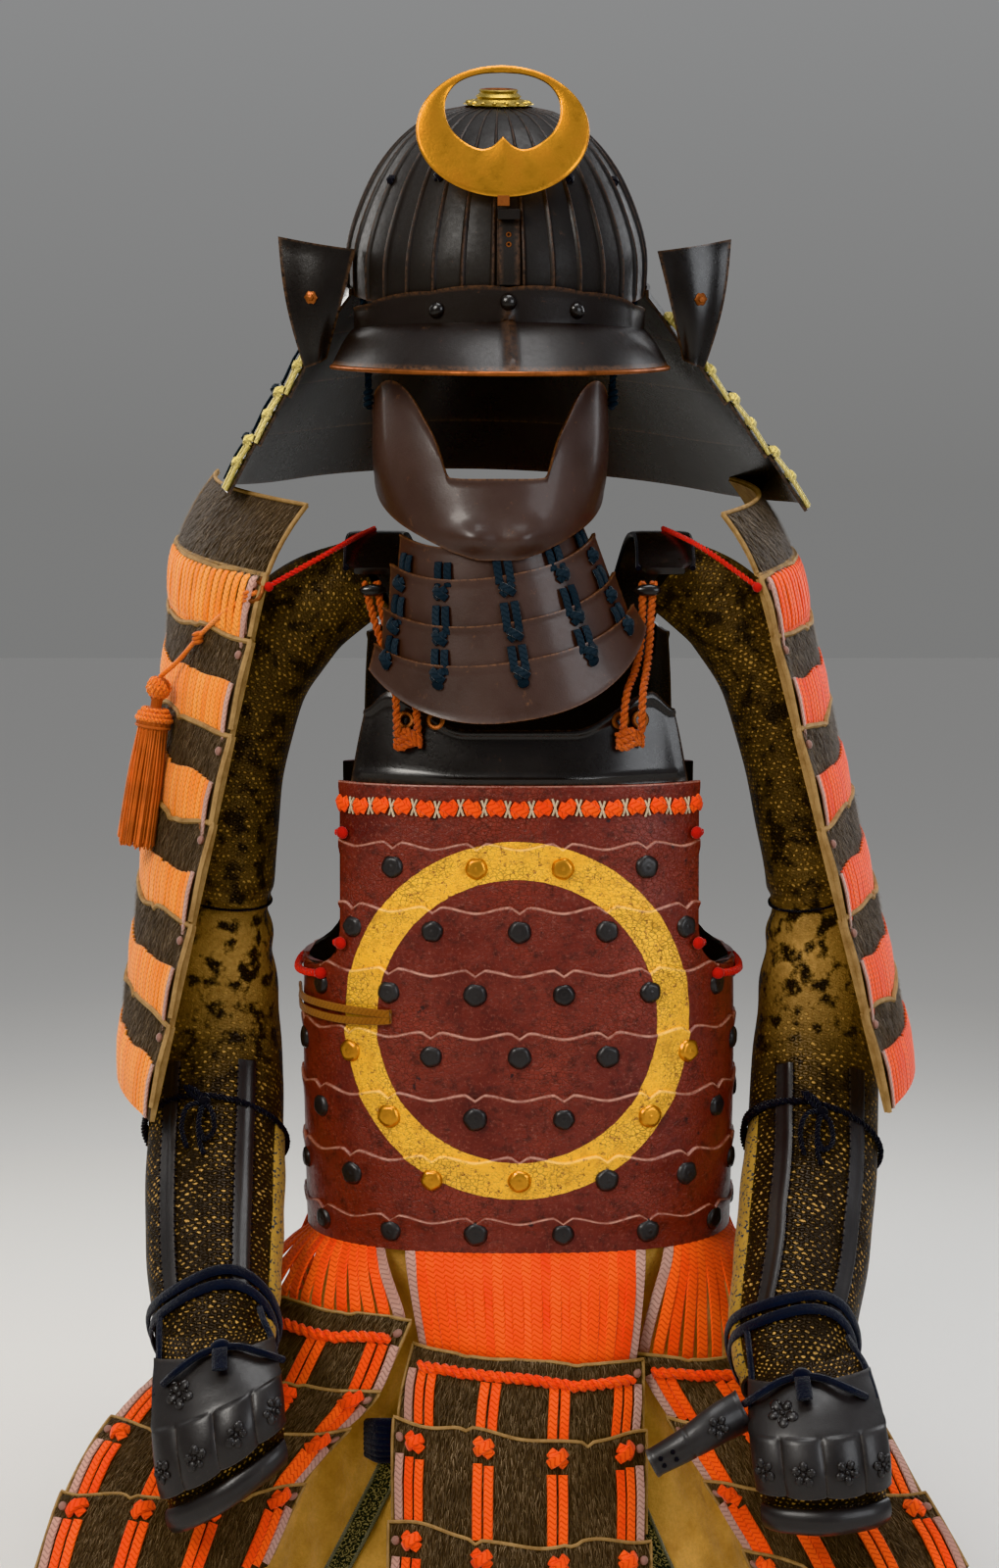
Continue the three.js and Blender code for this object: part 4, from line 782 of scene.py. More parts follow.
def make_visor():
    shape = Shape()
    face = placed(visor, HELMET)
    angles = np.linspace(-VISOR_HALF, VISOR_HALF, 97)
    rows = [0, 0.02, 0.05, 0.12, 0.2, 0.3, 0.37, 0.4, 0.43, 0.48, 0.55, 0.63, 0.72, 0.8, 0.88, 0.94, 0.98, 1]

    def relief(u, v):
        ridge = 2.9 * np.clip(1 - np.abs(u) / rad(2.4), 0, 1) ** 0.7
        ridge = ridge * smooth((v - 0.22) / 0.06) * smooth((0.995 - v) / 0.05)
        lip = 0.7 * smooth((0.05 - v) / 0.04)
        return ridge + lip - 0.2

    def worn(u, v):
        ridge = 0.4 * smooth((rad(2.6) - np.abs(u)) / rad(1.2)) * smooth((v - 0.2) / 0.08)
        return smooth((0.05 - v) / 0.05) * 0.9 + smooth((v - 0.955) / 0.03) + ridge

    wall(shape, face, angles, rows, 1.8, relief, True, tone=worn)
    rivet = [(6.4, -0.4), (6.4, 0.6), (5.8, 2.2), (4.2, 3.8), (2, 4.7), (0.05, 5)]
    for degrees, v in ((-26, 0.24), (0, 0.17), (26, 0.24)):
        p, x, y, n = spot(face, rad(degrees), v, True)
        lathe(shape, p, x, y, n, rivet, 1, 18)
    shape.stand_for("visor", "iron", IRON, BLACK, slot="black_lacquer", weld=True)
    rim = Shape()
    tube(rim, face(angles, np.ones_like(angles)) + HELMET[:3, 2] * -2.0, 2.0, 10)
    rim.stand_for("visor_rim", "copper", COPPER, slot="brass")


make_visor()


def make_crest():
    x, y, z = (HELMET[:3, k] for k in range(3))
    shape = Shape()
    columns = np.linspace(-1, 1, 5)
    # The two layers of the strip up the brow, then the socket and the rivets
    for half, out in ((8.5, 3.0), (7.2, 3.9)):

        def strip(u, h, half=half, out=out):
            return moved(vec(u * half, -1.13 * along(BOWL, 1, h) - out, h), HELMET)

        wall(shape, strip, columns, np.linspace(22, 72, 14), 1.0, tone=lambda u, h: np.abs(u) ** 6 * 0.8)

    def socket(u, v):
        return moved(vec(u * 8.4, mix(-122.5, -133, v), 77.6), HELMET)

    wall(shape, socket, columns, np.linspace(0, 1, 4), 7, flip=True)
    for h in (52, 59):
        p = moved(np.array([0, -1.13 * float(along(BOWL, 1, h)) - 3.9, h]), HELMET)
        lathe(shape, p, x, z, -y, [(2.0, 0), (2.0, 0.7), (1.2, 0.8), (1.1, -0.4)], 1, 12)
    shape.stand_for("crest_holder", "iron", BOWL_BLACK, COPPER, slot="black_lacquer")
    crest_m = HELMET @ turned("x", 72, (-4, -110, 134))
    ringed = Shape()
    # The opening's edge: a wide heart-shaped hole with a cusp at its foot
    stations = [
        (0, -4), (2.5, -6.6), (7.5, -11.2), (14, -13.7), (21, -12.8), (29, -8.6), (38, -0.5), (43.5, 11),
        (43, 24), (37, 34), (29, 39.4), (16, 43.4), (0, 44.6),
    ]
    right = spline([(a, b, 0) for a, b in stations], 49)[:, :2]
    edge = np.concatenate([right, right[-2:0:-1] * [-1, 1]])
    count = len(edge)
    angle = np.unwrap(np.arctan2(edge[:, 1] - 14, edge[:, 0]))
    outer = np.stack([66 * np.cos(angle), 50 * np.sin(angle)], -1)
    # share of the way from the opening to the rim, and lift
    section = [
        (0.0, 0.2), (0.0, 1.5), (0.02, 2.2), (0.07, 2.6), (0.5, 2.9), (0.9, 2.6), (0.97, 2.2), (1.0, 1.4),
        (1.0, 0.2), (0.5, 0.0),
    ]
    points = []
    for share, lift in section:
        flat = mix(edge, outer, share)
        points.append(np.concatenate([flat, np.full((count, 1), lift)], 1))
    points = moved(np.stack(points, 1), crest_m)
    i, j = np.meshgrid(np.arange(count), np.arange(len(section)), indexing="ij")
    a, b = i * len(section), ((i + 1) % count) * len(section)
    k = (j + 1) % len(section)
    ringed.add(points, np.stack([a + j, b + j, b + k, a + k], -1).reshape(-1, 4), 0, grid_uv(points))
    tongue = [(-4.5, -57), (4.5, -57), (4.5, -46), (-4.5, -46)]
    box = np.array([(px, py, pz) for pz in (0.1, 1.9) for px, py in tongue], float)
    faces = [[0, 3, 2, 1], [4, 5, 6, 7]] + [[k, (k + 1) % 4, 4 + (k + 1) % 4, 4 + k] for k in range(4)]
    ringed.add(moved(box, crest_m), faces, 1)
    ringed.stand_for("crest", "gilt", GILT, COPPER, slot="brass", angle=50)


make_crest()


def settle(p):
    x, y, z = p[..., 0], p[..., 1], p[..., 2]
    below = np.maximum(0, -12 - z)
    back = smooth((y + 40) / 180)
    return vec(x + 0.12 * below, y, z - 0.14 * below * back - 0.0002 * below * x)


def neck_face(index):
    fitted = (lambda h: np.zeros_like(h)) if index else (lambda h: smooth((h + 12) / 18))

    def face(angle, h):
        width = mix(127 + 3.2 * index - 0.64 * h, 123.9, fitted(h))
        length = mix(141 + 3.2 * index - 0.38 * h, 139.3, fitted(h))
        return moved(settle(vec(width * np.sin(angle), length * np.cos(angle), h)), HELMET)

    return face


def pair(shape, face, u, v0, v1, reach, slots, width, thick, lifts=(0.5, 1.6, 0.4), flip=False, sway=0.0):
    """Laces side by side down a surface: reach is each one's distance across in mm, v0 above v1."""
    t = np.array([0, 0.12, 0.35, 0.7, 1])
    e = 1e-3
    across = float(np.linalg.norm(face(u + e, v0) - face(u - e, v0))) / (2 * e)
    for off, slot in zip(reach, slots):
        us = u + (off + sway * t) / across
        p, _, _, n = frame_at(face, us, mix(v0, v1, t), flip)
        lift = np.interp(t, (0, 0.3, 1), lifts)[:, None]
        ribbon(shape, p + n * (lift + thick / 2), n, width, thick, slot, rng.uniform(0, 0.5))


def make_neck_guard():
    laces = Shape()
    for index in range(4):
        shape = Shape()
        face = neck_face(index)
        top = -index * 41 + 6 if index else 6
        bottom = top - 47 - (0 if index else 2)
        half = rad(106 - index)
        middle = top - 24 if index else -12
        heights = [bottom, bottom + 0.5, bottom + 2, bottom + 8, middle, top - 6, top - 1, top]
        heights = sorted(set(heights))

        def relief(u, h, bottom=bottom, top=top):
            return 0.9 * smooth((3 - (h - bottom)) / 2) + 0.5 * smooth((3 - (top - h)) / 2)

        def tone(u, h, bottom=bottom, half=half):
            return 0.6 * smooth((2.5 - (h - bottom)) / 2) + 0.6 * smooth((np.abs(u) - half + 0.03) / 0.02)

        wall(shape, face, np.linspace(-half, half, 121), heights, 2.2, relief, True, tone=tone)
        shape.stand_for(f"neck_lame_{index + 1}", "lacquered", BLACK, slot="black_lacquer")
        if index:
            # navy lacing pairs round the outside, yellow edge lacing at the two front ends
            for degrees in np.linspace(-84, 84, 9):
                u = rad(degrees)
                pair(laces, face, u, top - 13, bottom + 4, (-3.4, 3.4), (0, 0), 6, 2, flip=True)
                p, x, y, n = spot(face, u, top - 8, True)
                knot(laces, p + n * 0.8, x, y, n, 11, 0)
        for sign in (-1, 1):
            for off in (2.5, 8.5):
                u = sign * (half - off / 150)
                start = top - (8 if index else 24)
                pair(laces, face, u, start, bottom + 1, (0,), (1,), 5.4, 3, (0.8, 2.2, 0.8), True)
            u = sign * (half - 5.5 / 150)
            for h in (top - 5, mix(top, bottom, 0.5)):
                if index or h < -16:
                    p, x, y, n = spot(face, u, h, True)
                    knot(laces, p + n * 2.2, x, y, n, 13, 1, 0.3)
    laces.make("neck_guard_lacing", NAVY, YELLOW, slot="navy_cord")


make_neck_guard()


def near_edge(u, v):
    """Distance from a turnback's edge in mm, from its shares across and up."""
    return np.minimum(np.minimum(u, 1 - u) * 30, np.minimum(v, 1 - v) * 90)


def make_turnbacks():
    knob = [(5, -0.3), (5, 0.5), (4, 1.2), (2.6, 1.5), (2.2, 2.6), (0.05, 3)]
    for name, sign in SIDES:
        shape = Shape()

        def face(u, v, sign=sign):
            top = mix(np.array([119.5, -49, 38]), np.array([180, -33, 46]), u[..., None])
            low = mix(np.array([143, -47, -48]), np.array([160, -45, -56]), u[..., None])
            p = mix(low, top, v[..., None])
            bow = np.sin(math.pi * v)
            x = (p[..., 0] + bow * 4 * u) * sign + 5
            y = p[..., 1] - np.sin(math.pi * u) * 6 - bow * 4
            return moved(vec(x, y, p[..., 2]), HELMET)

        ends = np.array([0, 0.02, 0.06, *np.linspace(0.12, 0.88, 12), 0.94, 0.98, 1])

        def relief(u, v):
            return 0.9 * smooth((3.5 - near_edge(u, v)) / 2.5) - 0.2

        def tone(u, v):
            return smooth((1.8 - near_edge(u, v)) / 1.5)

        wall(shape, face, ends, ends, 2.0, relief, sign < 0, tone=tone)
        p, x, y, n = spot(face, 0.55, 0.56, sign < 0)
        lathe(shape, p, x, y, n, knob, 1, 16, 6, 0.12)
        shape.stand_for(f"turnback_{name}", "lacquered", BLACK, COPPER, slot="black_lacquer", weld=True)


make_turnbacks()

# Mask and throat guard

MASK_EDGE = np.array([
    [0, 48, -14], [10, 48, -14], [18, 48.5, -12], [22.5, 51, -10], [25, 64, -9], [28, 78, -8], [33, 92, -5],
    [41, 110, 0], [50, 121, 6], [60, 125, 13], [72, 122, 22], [86, 112, 34], [100, 92, 52],
], float)  # degrees, top, bottom
MASK_SECTION = np.array([
    [-14, 62, 90], [0, 74, 97], [17, 84, 94], [48, 92, 88], [80, 94, 82], [125, 92, 62],
], float)  # height, half width, depth


def mask(degrees, v):
    size = np.abs(degrees)
    z = mix(along(MASK_EDGE, 2, size), along(MASK_EDGE, 1, size), v)
    width, front = along(MASK_SECTION, 1, z), along(MASK_SECTION, 2, z)
    x, y = ring(np.radians(degrees), width, front, front, 2.2)
    chin = 6 * np.exp(-(((z - 3) / 11) ** 2) - ((size - 13) / 11) ** 2)
    return moved(vec(x, -56 + y - chin, z), FACE)


def make_mask():
    shape = Shape()
    degrees = np.concatenate([np.linspace(0, 21, 12), np.linspace(22, 42, 24), np.linspace(44, 100, 26)])
    degrees = np.concatenate([-degrees[:0:-1], degrees])
    rows = np.array([0, 0.01, 0.03, 0.07, *np.linspace(0.12, 0.88, 16), 0.93, 0.97, 0.99, 1])

    def relief(d, v):
        turn = 1.3 * smooth((v - 0.93) / 0.06) * smooth((50 - np.abs(d)) / 10) + 0.5 * smooth((v - 0.97) / 0.03)
        return turn + 0.6 * smooth((0.05 - v) / 0.05)

    def worn(d, v):
        return smooth((v - 0.97) / 0.03) * 0.9 + smooth((0.02 - v) / 0.02) * 0.6

    wall(shape, mask, degrees, rows, 2.0, relief, tone=worn)
    shape.stand_for("mask", "lacquered", RUSSET, slot="russet_lacquer")
    for name, sign in SIDES:
        tie = Shape()
        route = [(sign * 96.2 - 8, -62, 104), (sign * 97 - 8, -60, 124), (sign * 99 - 5, -55, 150)]
        route += [(sign * 105.6 - 0.6, -47, 175), (sign * 108.7, -42, 192)]
        twist(tie, moved(spline(route, 30), HEAD), 3.0, 9)
        p = moved(np.array([sign * 96.6 - 8, -63.5, 112.0]), HEAD)
        for k in range(3):
            q = p + vec(sign * 0.5, -0.8, 4.6 * (k - 1))
            blob(tie, q, vec(4.6, 0, 1.2), vec(0, 4.2, 0), vec(0, 0, 2.9))
        tie.stand_for(f"mask_tie_{name}", "silk", NAVY, slot="navy_cord")


make_mask()

# top, bottom, width at top and bottom, front at top and bottom, rise at top and bottom
THROAT_LAMES = (
    (-2, -33, 70, 77, 91.8, 94.8, 30, 32),
    (-26, -68, 81, 89, 97, 100.2, 34, 38),
    (-62, -99, 92, 99, 102.5, 105.2, 40, 44),
    (-92, -138, 103, 111, 107.4, 110.8, 45, 90),
)
THROAT_ARC = rad(66)


def throat_face(row):
    top, bottom, wide_top, wide_low, front_top, front_low, rise, end_rise = row

    def face(angle, v):
        x, y = ring(angle, mix(wide_low, wide_top, v) * 1.08, mix(front_low, front_top, v), 60, 2.3)
        lift = mix(end_rise, rise, v) * (1 - np.cos(angle))
        return moved(vec(x, y, mix(bottom, top, v) + 4 + lift), THROAT)

    return face


def make_throat():
    laces = Shape()
    for k, row in enumerate(THROAT_LAMES):
        shape = Shape()
        face = throat_face(row)
        rows = [0, 0.015, 0.05, 0.15, 0.35, 0.6, 0.8, 0.9, 0.96, 0.99, 1]

        def relief(u, v):
            return 0.9 * smooth((v - 0.9) / 0.06) + 0.5 * smooth((0.05 - v) / 0.04) + 0.2 * np.sin(9 * u)

        def tone(u, v):
            ends = smooth((np.abs(u) - THROAT_ARC + 0.02) / 0.02) * 0.5
            return smooth((v - 0.955) / 0.03) * 0.75 + smooth((0.03 - v) / 0.03) * 0.5 + ends

        wall(shape, face, np.linspace(-THROAT_ARC, THROAT_ARC, 73), rows, 2, relief, tone=tone)
        shape.stand_for(f"throat_lame_{k + 1}", "lacquered", RUSSET, slot="russet_lacquer")
        for u in (-0.97, -0.5, 0.02, 0.5, 0.93):
            if k:
                p, x, y, n = spot(face, u, 0.74 if k < 3 else 0.8)
                knot(laces, p + n * 1.2, x, y, n, 13, 0, 0.2)
            if k == 3:
                p, x, y, n = spot(face, u, 0.62)
                blob(laces, p + n * 1.4, x * 5, y * 4, n * 2.6, 0)
            if k < 3:
                start, end = (0.5, -0.02) if k else (0.62, 0.02)
                pair(laces, face, u, start, end, (-3.9, 3.9), (0, 0), 6.6, 2.6, (0.4, 2.2, 1.6), False)
    laces.make("throat_guard_lacing", NAVY, slot="navy_cord")


make_throat()

# Cuirass

HEM = -564.0
LAMES = 8  # below the breast, each lapping over the one above
TORSO = np.array([
    [HEM, 176, 128, 112], [-440, 178, 130, 118], [-350, 177, 132, 123], [-260, 172, 131, 124],
    [-190, 168, 128, 122], [-117, 165, 118, 116], [-60, 160, 108, 108],
], float)  # height, half width, front, back


def torso(angle, z):
    x, y = ring(angle, along(TORSO, 1, z), along(TORSO, 2, z), along(TORSO, 3, z), 2.6)
    return vec(x, y, z)


# Distance round the torso from the middle of its front, against the angle, at the ring's height
TURN = np.linspace(0, math.pi, 721)
STEPS = np.diff(torso(TURN, float(RING_Z)), axis=0)
GIRTH = np.concatenate([[0], np.cumsum(np.linalg.norm(STEPS, axis=1))])
HALF_GIRTH = GIRTH[-1]
SIDE_SEAM = float(GIRTH[TURN >= math.pi / 2][0])


def angle_at(distance):
    size = np.abs(distance)
    beyond = size > HALF_GIRTH
    inside = np.interp(np.where(beyond, 2 * HALF_GIRTH - size, size), GIRTH, TURN)
    return np.sign(distance) * np.where(beyond, 2 * math.pi - inside, inside)


def distance_at(angle):
    size = np.abs(angle)
    inside = np.interp(np.minimum(size, 2 * math.pi - size), TURN, GIRTH)
    return np.sign(angle) * np.where(size > math.pi, 2 * HALF_GIRTH - inside, inside)


def row_height(row):
    return np.where(row >= LAMES, HEM, -190.0 - 50 * row)


def scallop(distance, row):
    shifted = distance / 70 + np.where(row % 2 == 1, 0.5, 0)
    off = np.abs(shifted - np.round(shifted)) * 70
    wave = np.where(off < 7, 5 * off / 7, 5 * (1 - smooth((off - 7) / 28)))
    return np.where((row > 0) & (row < LAMES), wave, 0)


def opened(z, edge):
    """The widest angle at a height that stays clear of the armhole, whose edge stands at that x."""
    share = np.clip((z + 342) / 34, 0, 1)
    limit = np.where(z <= -342, 1e6, edge + 34 * (1 - np.sqrt(share)) ** 2)
    return np.arcsin(np.clip(limit / along(TORSO, 1, z), 0, 1) ** 1.3)


def cuirass_face(edge, wavy, back=False):
    def face(distance, v):
        k = np.clip(np.floor(v), 0, LAMES - 1)
        row = LAMES - k
        low, high = row_height(row), row_height(row - 1)
        if wavy:
            low, high = low + scallop(distance, row), high + scallop(distance, row - 1)
        z = mix(low, high, v - k)
        most = opened(z, edge)
        if back:
            off = angle_at(distance + HALF_GIRTH) - math.pi
            return torso(math.pi + np.clip(off, -most, most), z)
        return torso(np.clip(angle_at(distance), -most, most), z)

    return face


def lame_share(v):
    return v - (np.ceil(v - 1e-9) - 1) * (v > 1e-6)


def cuirass_lift(u, v):
    t = lame_share(v)
    return 2.3 * (0.15 * t + 0.85 * smooth((t - 0.62) / 0.34)) - 0.4 * smooth((t - 0.985) / 0.015)


# Where to paint the pale line on each lame's top lip: part wear, part painted highlight of the polished edge
def lame_lip_wear_and_highlight(u, v):
    t = lame_share(v)
    return 0.95 * smooth((t - 0.968) / 0.02) * (v < 7.99)


LAME_ROWS = np.array([0.016, 0.08, 0.3, 0.55, 0.75, 0.88, 0.96, 0.985, 1])
CUIRASS_ROWS = np.concatenate([[0], *(k + LAME_ROWS for k in range(LAMES))])
FRONT_FACE = cuirass_face(143, True)
RIVET = [
    (9.4, -0.6, 0), (9.4, 0.3, 0.3), (8.6, 1.6, 1), (7.6, 3.0, 1), (5.4, 3.7, 0.8), (3, 3.3, 0.3),
    (1.2, 3.6, 0), (0.05, 3.8, 0),
]  # radius, height, share of the dent


def make_cuirass():
    shape = Shape()
    limit = SIDE_SEAM - 0.25
    places = np.linspace(-limit, limit, 169)
    marks = 35.0 * np.arange(-7, 8)
    places = np.unique(np.concatenate([places, marks[np.abs(marks) < limit]]))
    rows = np.unique(np.concatenate([CUIRASS_ROWS, 4.0 + np.linspace(0.42, 0.62, 5), [5.1, 5.2]]))

    def uv(u, v):
        return np.stack([u, FRONT_FACE(u, v)[..., 2]], -1) * MM

    wall(shape, FRONT_FACE, places, rows, 3, cuirass_lift, uv=uv, tone=lame_lip_wear_and_highlight, slots=(0, 1, 0))
    shape.stand_for("cuirass_front", "leather", LEATHER, LINING, slot="leather_facing", weld=True, angle=50)
    back = Shape()
    limit = HALF_GIRTH - SIDE_SEAM - 0.25
    face = cuirass_face(149, False, True)

    def back_uv(u, v):
        # Far from the gold ring, which only the front has
        return np.stack([u + 5000, face(u, v)[..., 2]], -1) * MM

    places = np.linspace(-limit, limit, 85)
    wall(back, face, places, rows, 3, cuirass_lift, uv=back_uv, tone=lame_lip_wear_and_highlight, slots=(0, 1, 0))
    back.stand_for("cuirass_back", "leather", LEATHER, LINING, slot="leather_facing", weld=True, angle=50)

    rivets = Shape()
    for row in range(1, 8):
        first = -35 * (row % 2)
        for k in range(-4, 5):
            d = 70.0 * k + first
            z = float(row_height(np.array(row))) - 15
            v = 8 - (row + 0.3) if row < 7 else 8 - 7.35
            if abs(d) > SIDE_SEAM - 14:
                continue
            angle = float(angle_at(np.array(d)))
            if abs(angle) > float(opened(np.array(z), 136)):
                continue
            p, x, y, n = spot(FRONT_FACE, d, v)
            gold = abs(math.hypot(d - RING_X, p[2] - RING_Z) - RING_RADIUS) < RING_HALF + 2
            a, size = rng.uniform(0, 6.28), rng.uniform(0.93, 1.05)
            x, y = (x * math.cos(a) + y * math.sin(a)) * size, (y * math.cos(a) - x * math.sin(a)) * size
            lean = n + x * rng.normal(0, 0.05) + y * rng.normal(0, 0.05)
            lathe(rivets, p + n * 0.3, x, y, lean, RIVET, 1 if gold else 0, 18, 5, 0.06)
    for row in range(1, 8):
        for k in range(-3, 4):
            d = 70.0 * k - 35 * (row % 2)
            p, x, y, n = spot(face, d, 8 - row - 0.3)
            if abs(p[0]) < 150 or p[2] < -345:
                lathe(rivets, p + n * 0.3, x, y, n, RIVET, 0, 16, 8, 0.05)
    rivets.make("cuirass_rivets", HAND_BLACK, GILT, slot="black_lacquer", weld=True)

    # The row of cross knots below the breast plate, with pale stitches between
    knots = Shape()
    for k in range(17):
        d = (k - 8) * 19.4
        v = 7 + 0.62
        p, x, y, n = spot(FRONT_FACE, d, v)
        p = p + n * (1.4 + float(cuirass_lift(0, np.float64(v))))
        for lean, rise in ((0.55, 0.4), (-0.45, 1.5)):
            t = np.linspace(-1, 1, 7)[:, None]
            line = p + (x * 5.4 + y * 7.4 * lean) * t + n * (rise + 1.8 * (1 - t**2) - 1.6)
            ribbon(knots, line, np.repeat(n[None], 7, 0), 8.0, 3.6, 0, rng.uniform(0, 0.4))
        if k < 16:
            q, x, y, n = spot(FRONT_FACE, d + 9.7, v)
            q = q + n * (0.9 + float(cuirass_lift(0, np.float64(v))))
            for lean in (1, -1):
                t = np.linspace(-1, 1, 5)[:, None]
                line = q + (x * 2.2 + y * 6.5 * lean) * t + n * 0.9 * (1 - t**2)
                tube(knots, line, 1.0, 6, 1)
    knots.make("cuirass_cross_knots", ORANGE, CREAM, slot="orange_lacing")


make_cuirass()


def on_front(x, z, off=0.0):
    """A place on the torso's front with its directions, from x and height."""

    def face(u, v):
        angle = np.arcsin(np.clip(np.abs(u) / along(TORSO, 1, v), 0, 1) ** 1.3) * np.sign(u)
        return torso(angle, v)

    p, du, dv, n = spot(face, x, z)
    return p + n * off, du, dv, n


def make_plates():
    shape = Shape()

    def rim(distance):
        return mix(-147, -118, smooth((np.abs(distance) - 45) / 70))

    def face(t, v):
        distance = t * mix(147, 134, v)
        corner = 14 * smooth((np.abs(distance) - 112) / 22) * v
        return torso(angle_at(distance), mix(-189.6, rim(distance) - corner, v))

    near_rim = (0.82, 0.86, 0.89, 0.92, 0.95, 0.98, 1)
    rows = np.array([0, 0.01, 0.06, 0.1, 0.14, 0.18, *np.linspace(0.25, 0.78, 10), *near_rim])
    ends = np.concatenate([[-1, -0.995, -0.98], np.linspace(-0.95, 0.95, 75), [0.98, 0.995, 1]])

    def relief(t, v):
        ridge = 1.7 * np.exp(-(((v - 0.1) / 0.035) ** 2))
        bead = 3.3 * smooth((v - 0.84) / 0.09) - 0.8 * smooth((v - 0.96) / 0.04)
        side = 1.6 * smooth((np.abs(t) - 0.94) / 0.04)
        return np.maximum(np.maximum(ridge, bead), side)

    def tone(t, v):
        ends = 0.35 * smooth((np.abs(t) - 0.985) / 0.01)
        return 0.5 * smooth((v - 0.97) / 0.03) + ends + 0.5 * smooth((0.02 - v) / 0.02)

    wall(shape, face, ends, rows, 2.1, relief, tone=tone)
    eyelet = [(7.2, -1.5), (7.2, 0.2), (6.2, 1.1), (4.4, 1.0), (3.6, 0), (3.6, -1.5)]
    for across in (-88.5, -65.4, 78.3, 93.8):
        lathe(shape, *on_front(across, -140, 3.0), eyelet, 1, 20)
    shape.stand_for("chest_plate", "lacquered", BLACK, COPPER, slot="black_lacquer")
    back = Shape()

    def back_face(distance, v):
        corner = 14 * smooth((np.abs(distance) - 120) / 26) * v
        return torso(angle_at(distance + HALF_GIRTH), mix(-189.6, -66 - corner, v))

    def back_relief(d, v):
        bead = 2.2 * smooth((v - 0.93) / 0.04) - 0.6 * smooth((v - 0.985) / 0.015)
        return bead + 1.5 * np.exp(-(((v - 0.05) / 0.02) ** 2))

    def back_tone(d, v):
        return 0.6 * smooth((v - 0.975) / 0.02)

    rows = [0, 0.02, 0.035, 0.05, 0.065, 0.09, *np.linspace(0.15, 0.9, 10), 0.93, 0.95, 0.97, 0.985, 1]
    wall(back, back_face, np.linspace(-146, 146, 61), rows, 2.1, back_relief, tone=back_tone)
    back.stand_for("back_plate", "lacquered", BLACK, slot="black_lacquer")


make_plates()


def make_straps():
    for name, sign in SIDES:
        line = spline([
            (sign * 86, 85.1, -106), (sign * 91, 81, -76), (sign * 104, 70, -34), (sign * 112, 42, -5),
            (sign * 116, 4, 0), (sign * 117, -38, -7), (sign * 116, -74, -27),
        ], 60)
        side = np.repeat([[1.0, 0, 0]], 60, 0)
        up = np.cross(side, tangents(line)) * -1
        up = up * np.sign(up[30, 2])
        shape = Shape()
        ends = np.interp(np.arange(60), (0, 2, 57, 59), (0.8, 1, 1, 0.7))
        sweep(shape, line + up * 3.1, side, up, 22.2 * ends, 3.1, 16, 0, 0.0, 0.35)
        for edge in (-1, 1):
            tube(shape, line[1:-1] + up[1:-1] * 3.1 + side[1:-1] * edge * 21.6, 2.4, 8, 1)
        shape.stand_for(f"strap_{name}", "leather", BLACK, INK, slot="black_lacquer")

    routes = {
        "left": [
            (-86, -117.5, -155), (-88, -122.5, -143), (-90, -120, -118), (-97, -104, -103), (-104, -90, -84),
            (-113, -81, -56), (-118, -78, -33),
        ],
        "right": [
            (86, -117.5, -155), (88, -122.5, -143), (90, -120, -118), (95, -104, -103), (99, -90, -84),
            (101, -81, -56), (102, -78, -33),
        ],
    }
    for name, sign in SIDES:
        shape = Shape()
        route = np.array(routes[name], float)
        for off in (-1, 1):
            line = route.copy()
            line[:, 0] += off * np.array([0, 8, 7, 5, 4, 4, 5]) * (1.0 if name == "left" else 0.9)
            line[0] = line[1] + (0, 2.5, -5)
            line[:3, 1] -= 1.6
            twist(shape, spline(line, 60), 3.3, 11)
        p, x, y, n = on_front(-86 if sign < 0 else 85, -155, 3)
        for k in range(3):
            t = np.linspace(-1, 1, 9)[:, None]
            rise = 4.2 * np.sqrt(np.clip(1.05 - t**2, 0, 1)) + 0.8
            line = p + x * t * 10.5 + y * (4.4 * (k - 1) + 2.2 * np.sin(3 * t + k)) + n * rise
            twist(shape, line, 3.4, 8)
        blob(shape, p + n * 2, x * 10, y * 7, n * 4.2, 0, 0, 14, 8)
        toggle = spline(route, 60)[-5]
        blob(shape, toggle + vec(0, -3, 3.0), vec(11.0, 0, 0), vec(0, 4.0, 0), vec(0, 0, 5.0), 1, 0, 14, 8)
        shape.stand_for(f"shoulder_cord_{name}", "silk", RUST, BLACK, slot="rust_cord")


make_straps()


def make_side_ties():
    """The red cords at the cuirass's open sides, and the brown braid round its waist."""
    shape = Shape()
    for sign in (-1, 1):
        for height, edge in ((-231, 143), (-319, 145)):
            p, x, y, n = on_front(sign * (edge - 5), height, 2.4)
            aside = x * sign
            blob(shape, p + n * 1.6, x * 5.6, y * 5.2, n * 3.8, 0, 0, 12, 7)
            line = spline([p + n * 2, p + aside * 5 + n * 1, p + aside * 8 - n * 4, p + aside * 6 - n * 12], 20)
            twist(shape, line, 3.2, 10)
        t = np.linspace(0, 1, 50)
        p = torso(rad(58) * sign + rad(62) * sign * t, -346 - 4 * np.sin(math.pi * t))
        out = unit(p * [1, 1, 0])
        twist(shape, p + out * 5.2, 3.3, 10)
        blob(shape, p[0] + out[0] * 4, vec(5.4, 0, 0), vec(0, 4.4, 0), vec(0, 0, 4.8), 0, 0, 12, 7)
    shape.make("side_ties", RED, slot="red_cord")
    brown = Shape()
    for off in (0, 9):
        p0, _, _, _ = on_front(-103, -372 - off * 0.6, 3.4)
        p1, _, _, _ = on_front(-140, -371 - off, 4.2)
        p2 = torso(np.float64(-1.2), np.float64(-370 - off)) + (-4, -3, 0)
        p3 = torso(np.float64(-1.62), np.float64(-372 - off)) + (-5, 0, 0)
        line = spline([p0 + (3, 8, 0), p0, p1, p2, p3], 40)
        flat = unit(line * [1, 1, 0])
        ribbon(brown, line, flat, 6.4, 2.8, 0, 0.1)
    brown.make("braid_round_waist", BROWN, slot="rust_cord")


make_side_ties()

# Laced lames: the tassets and the shoulder guards

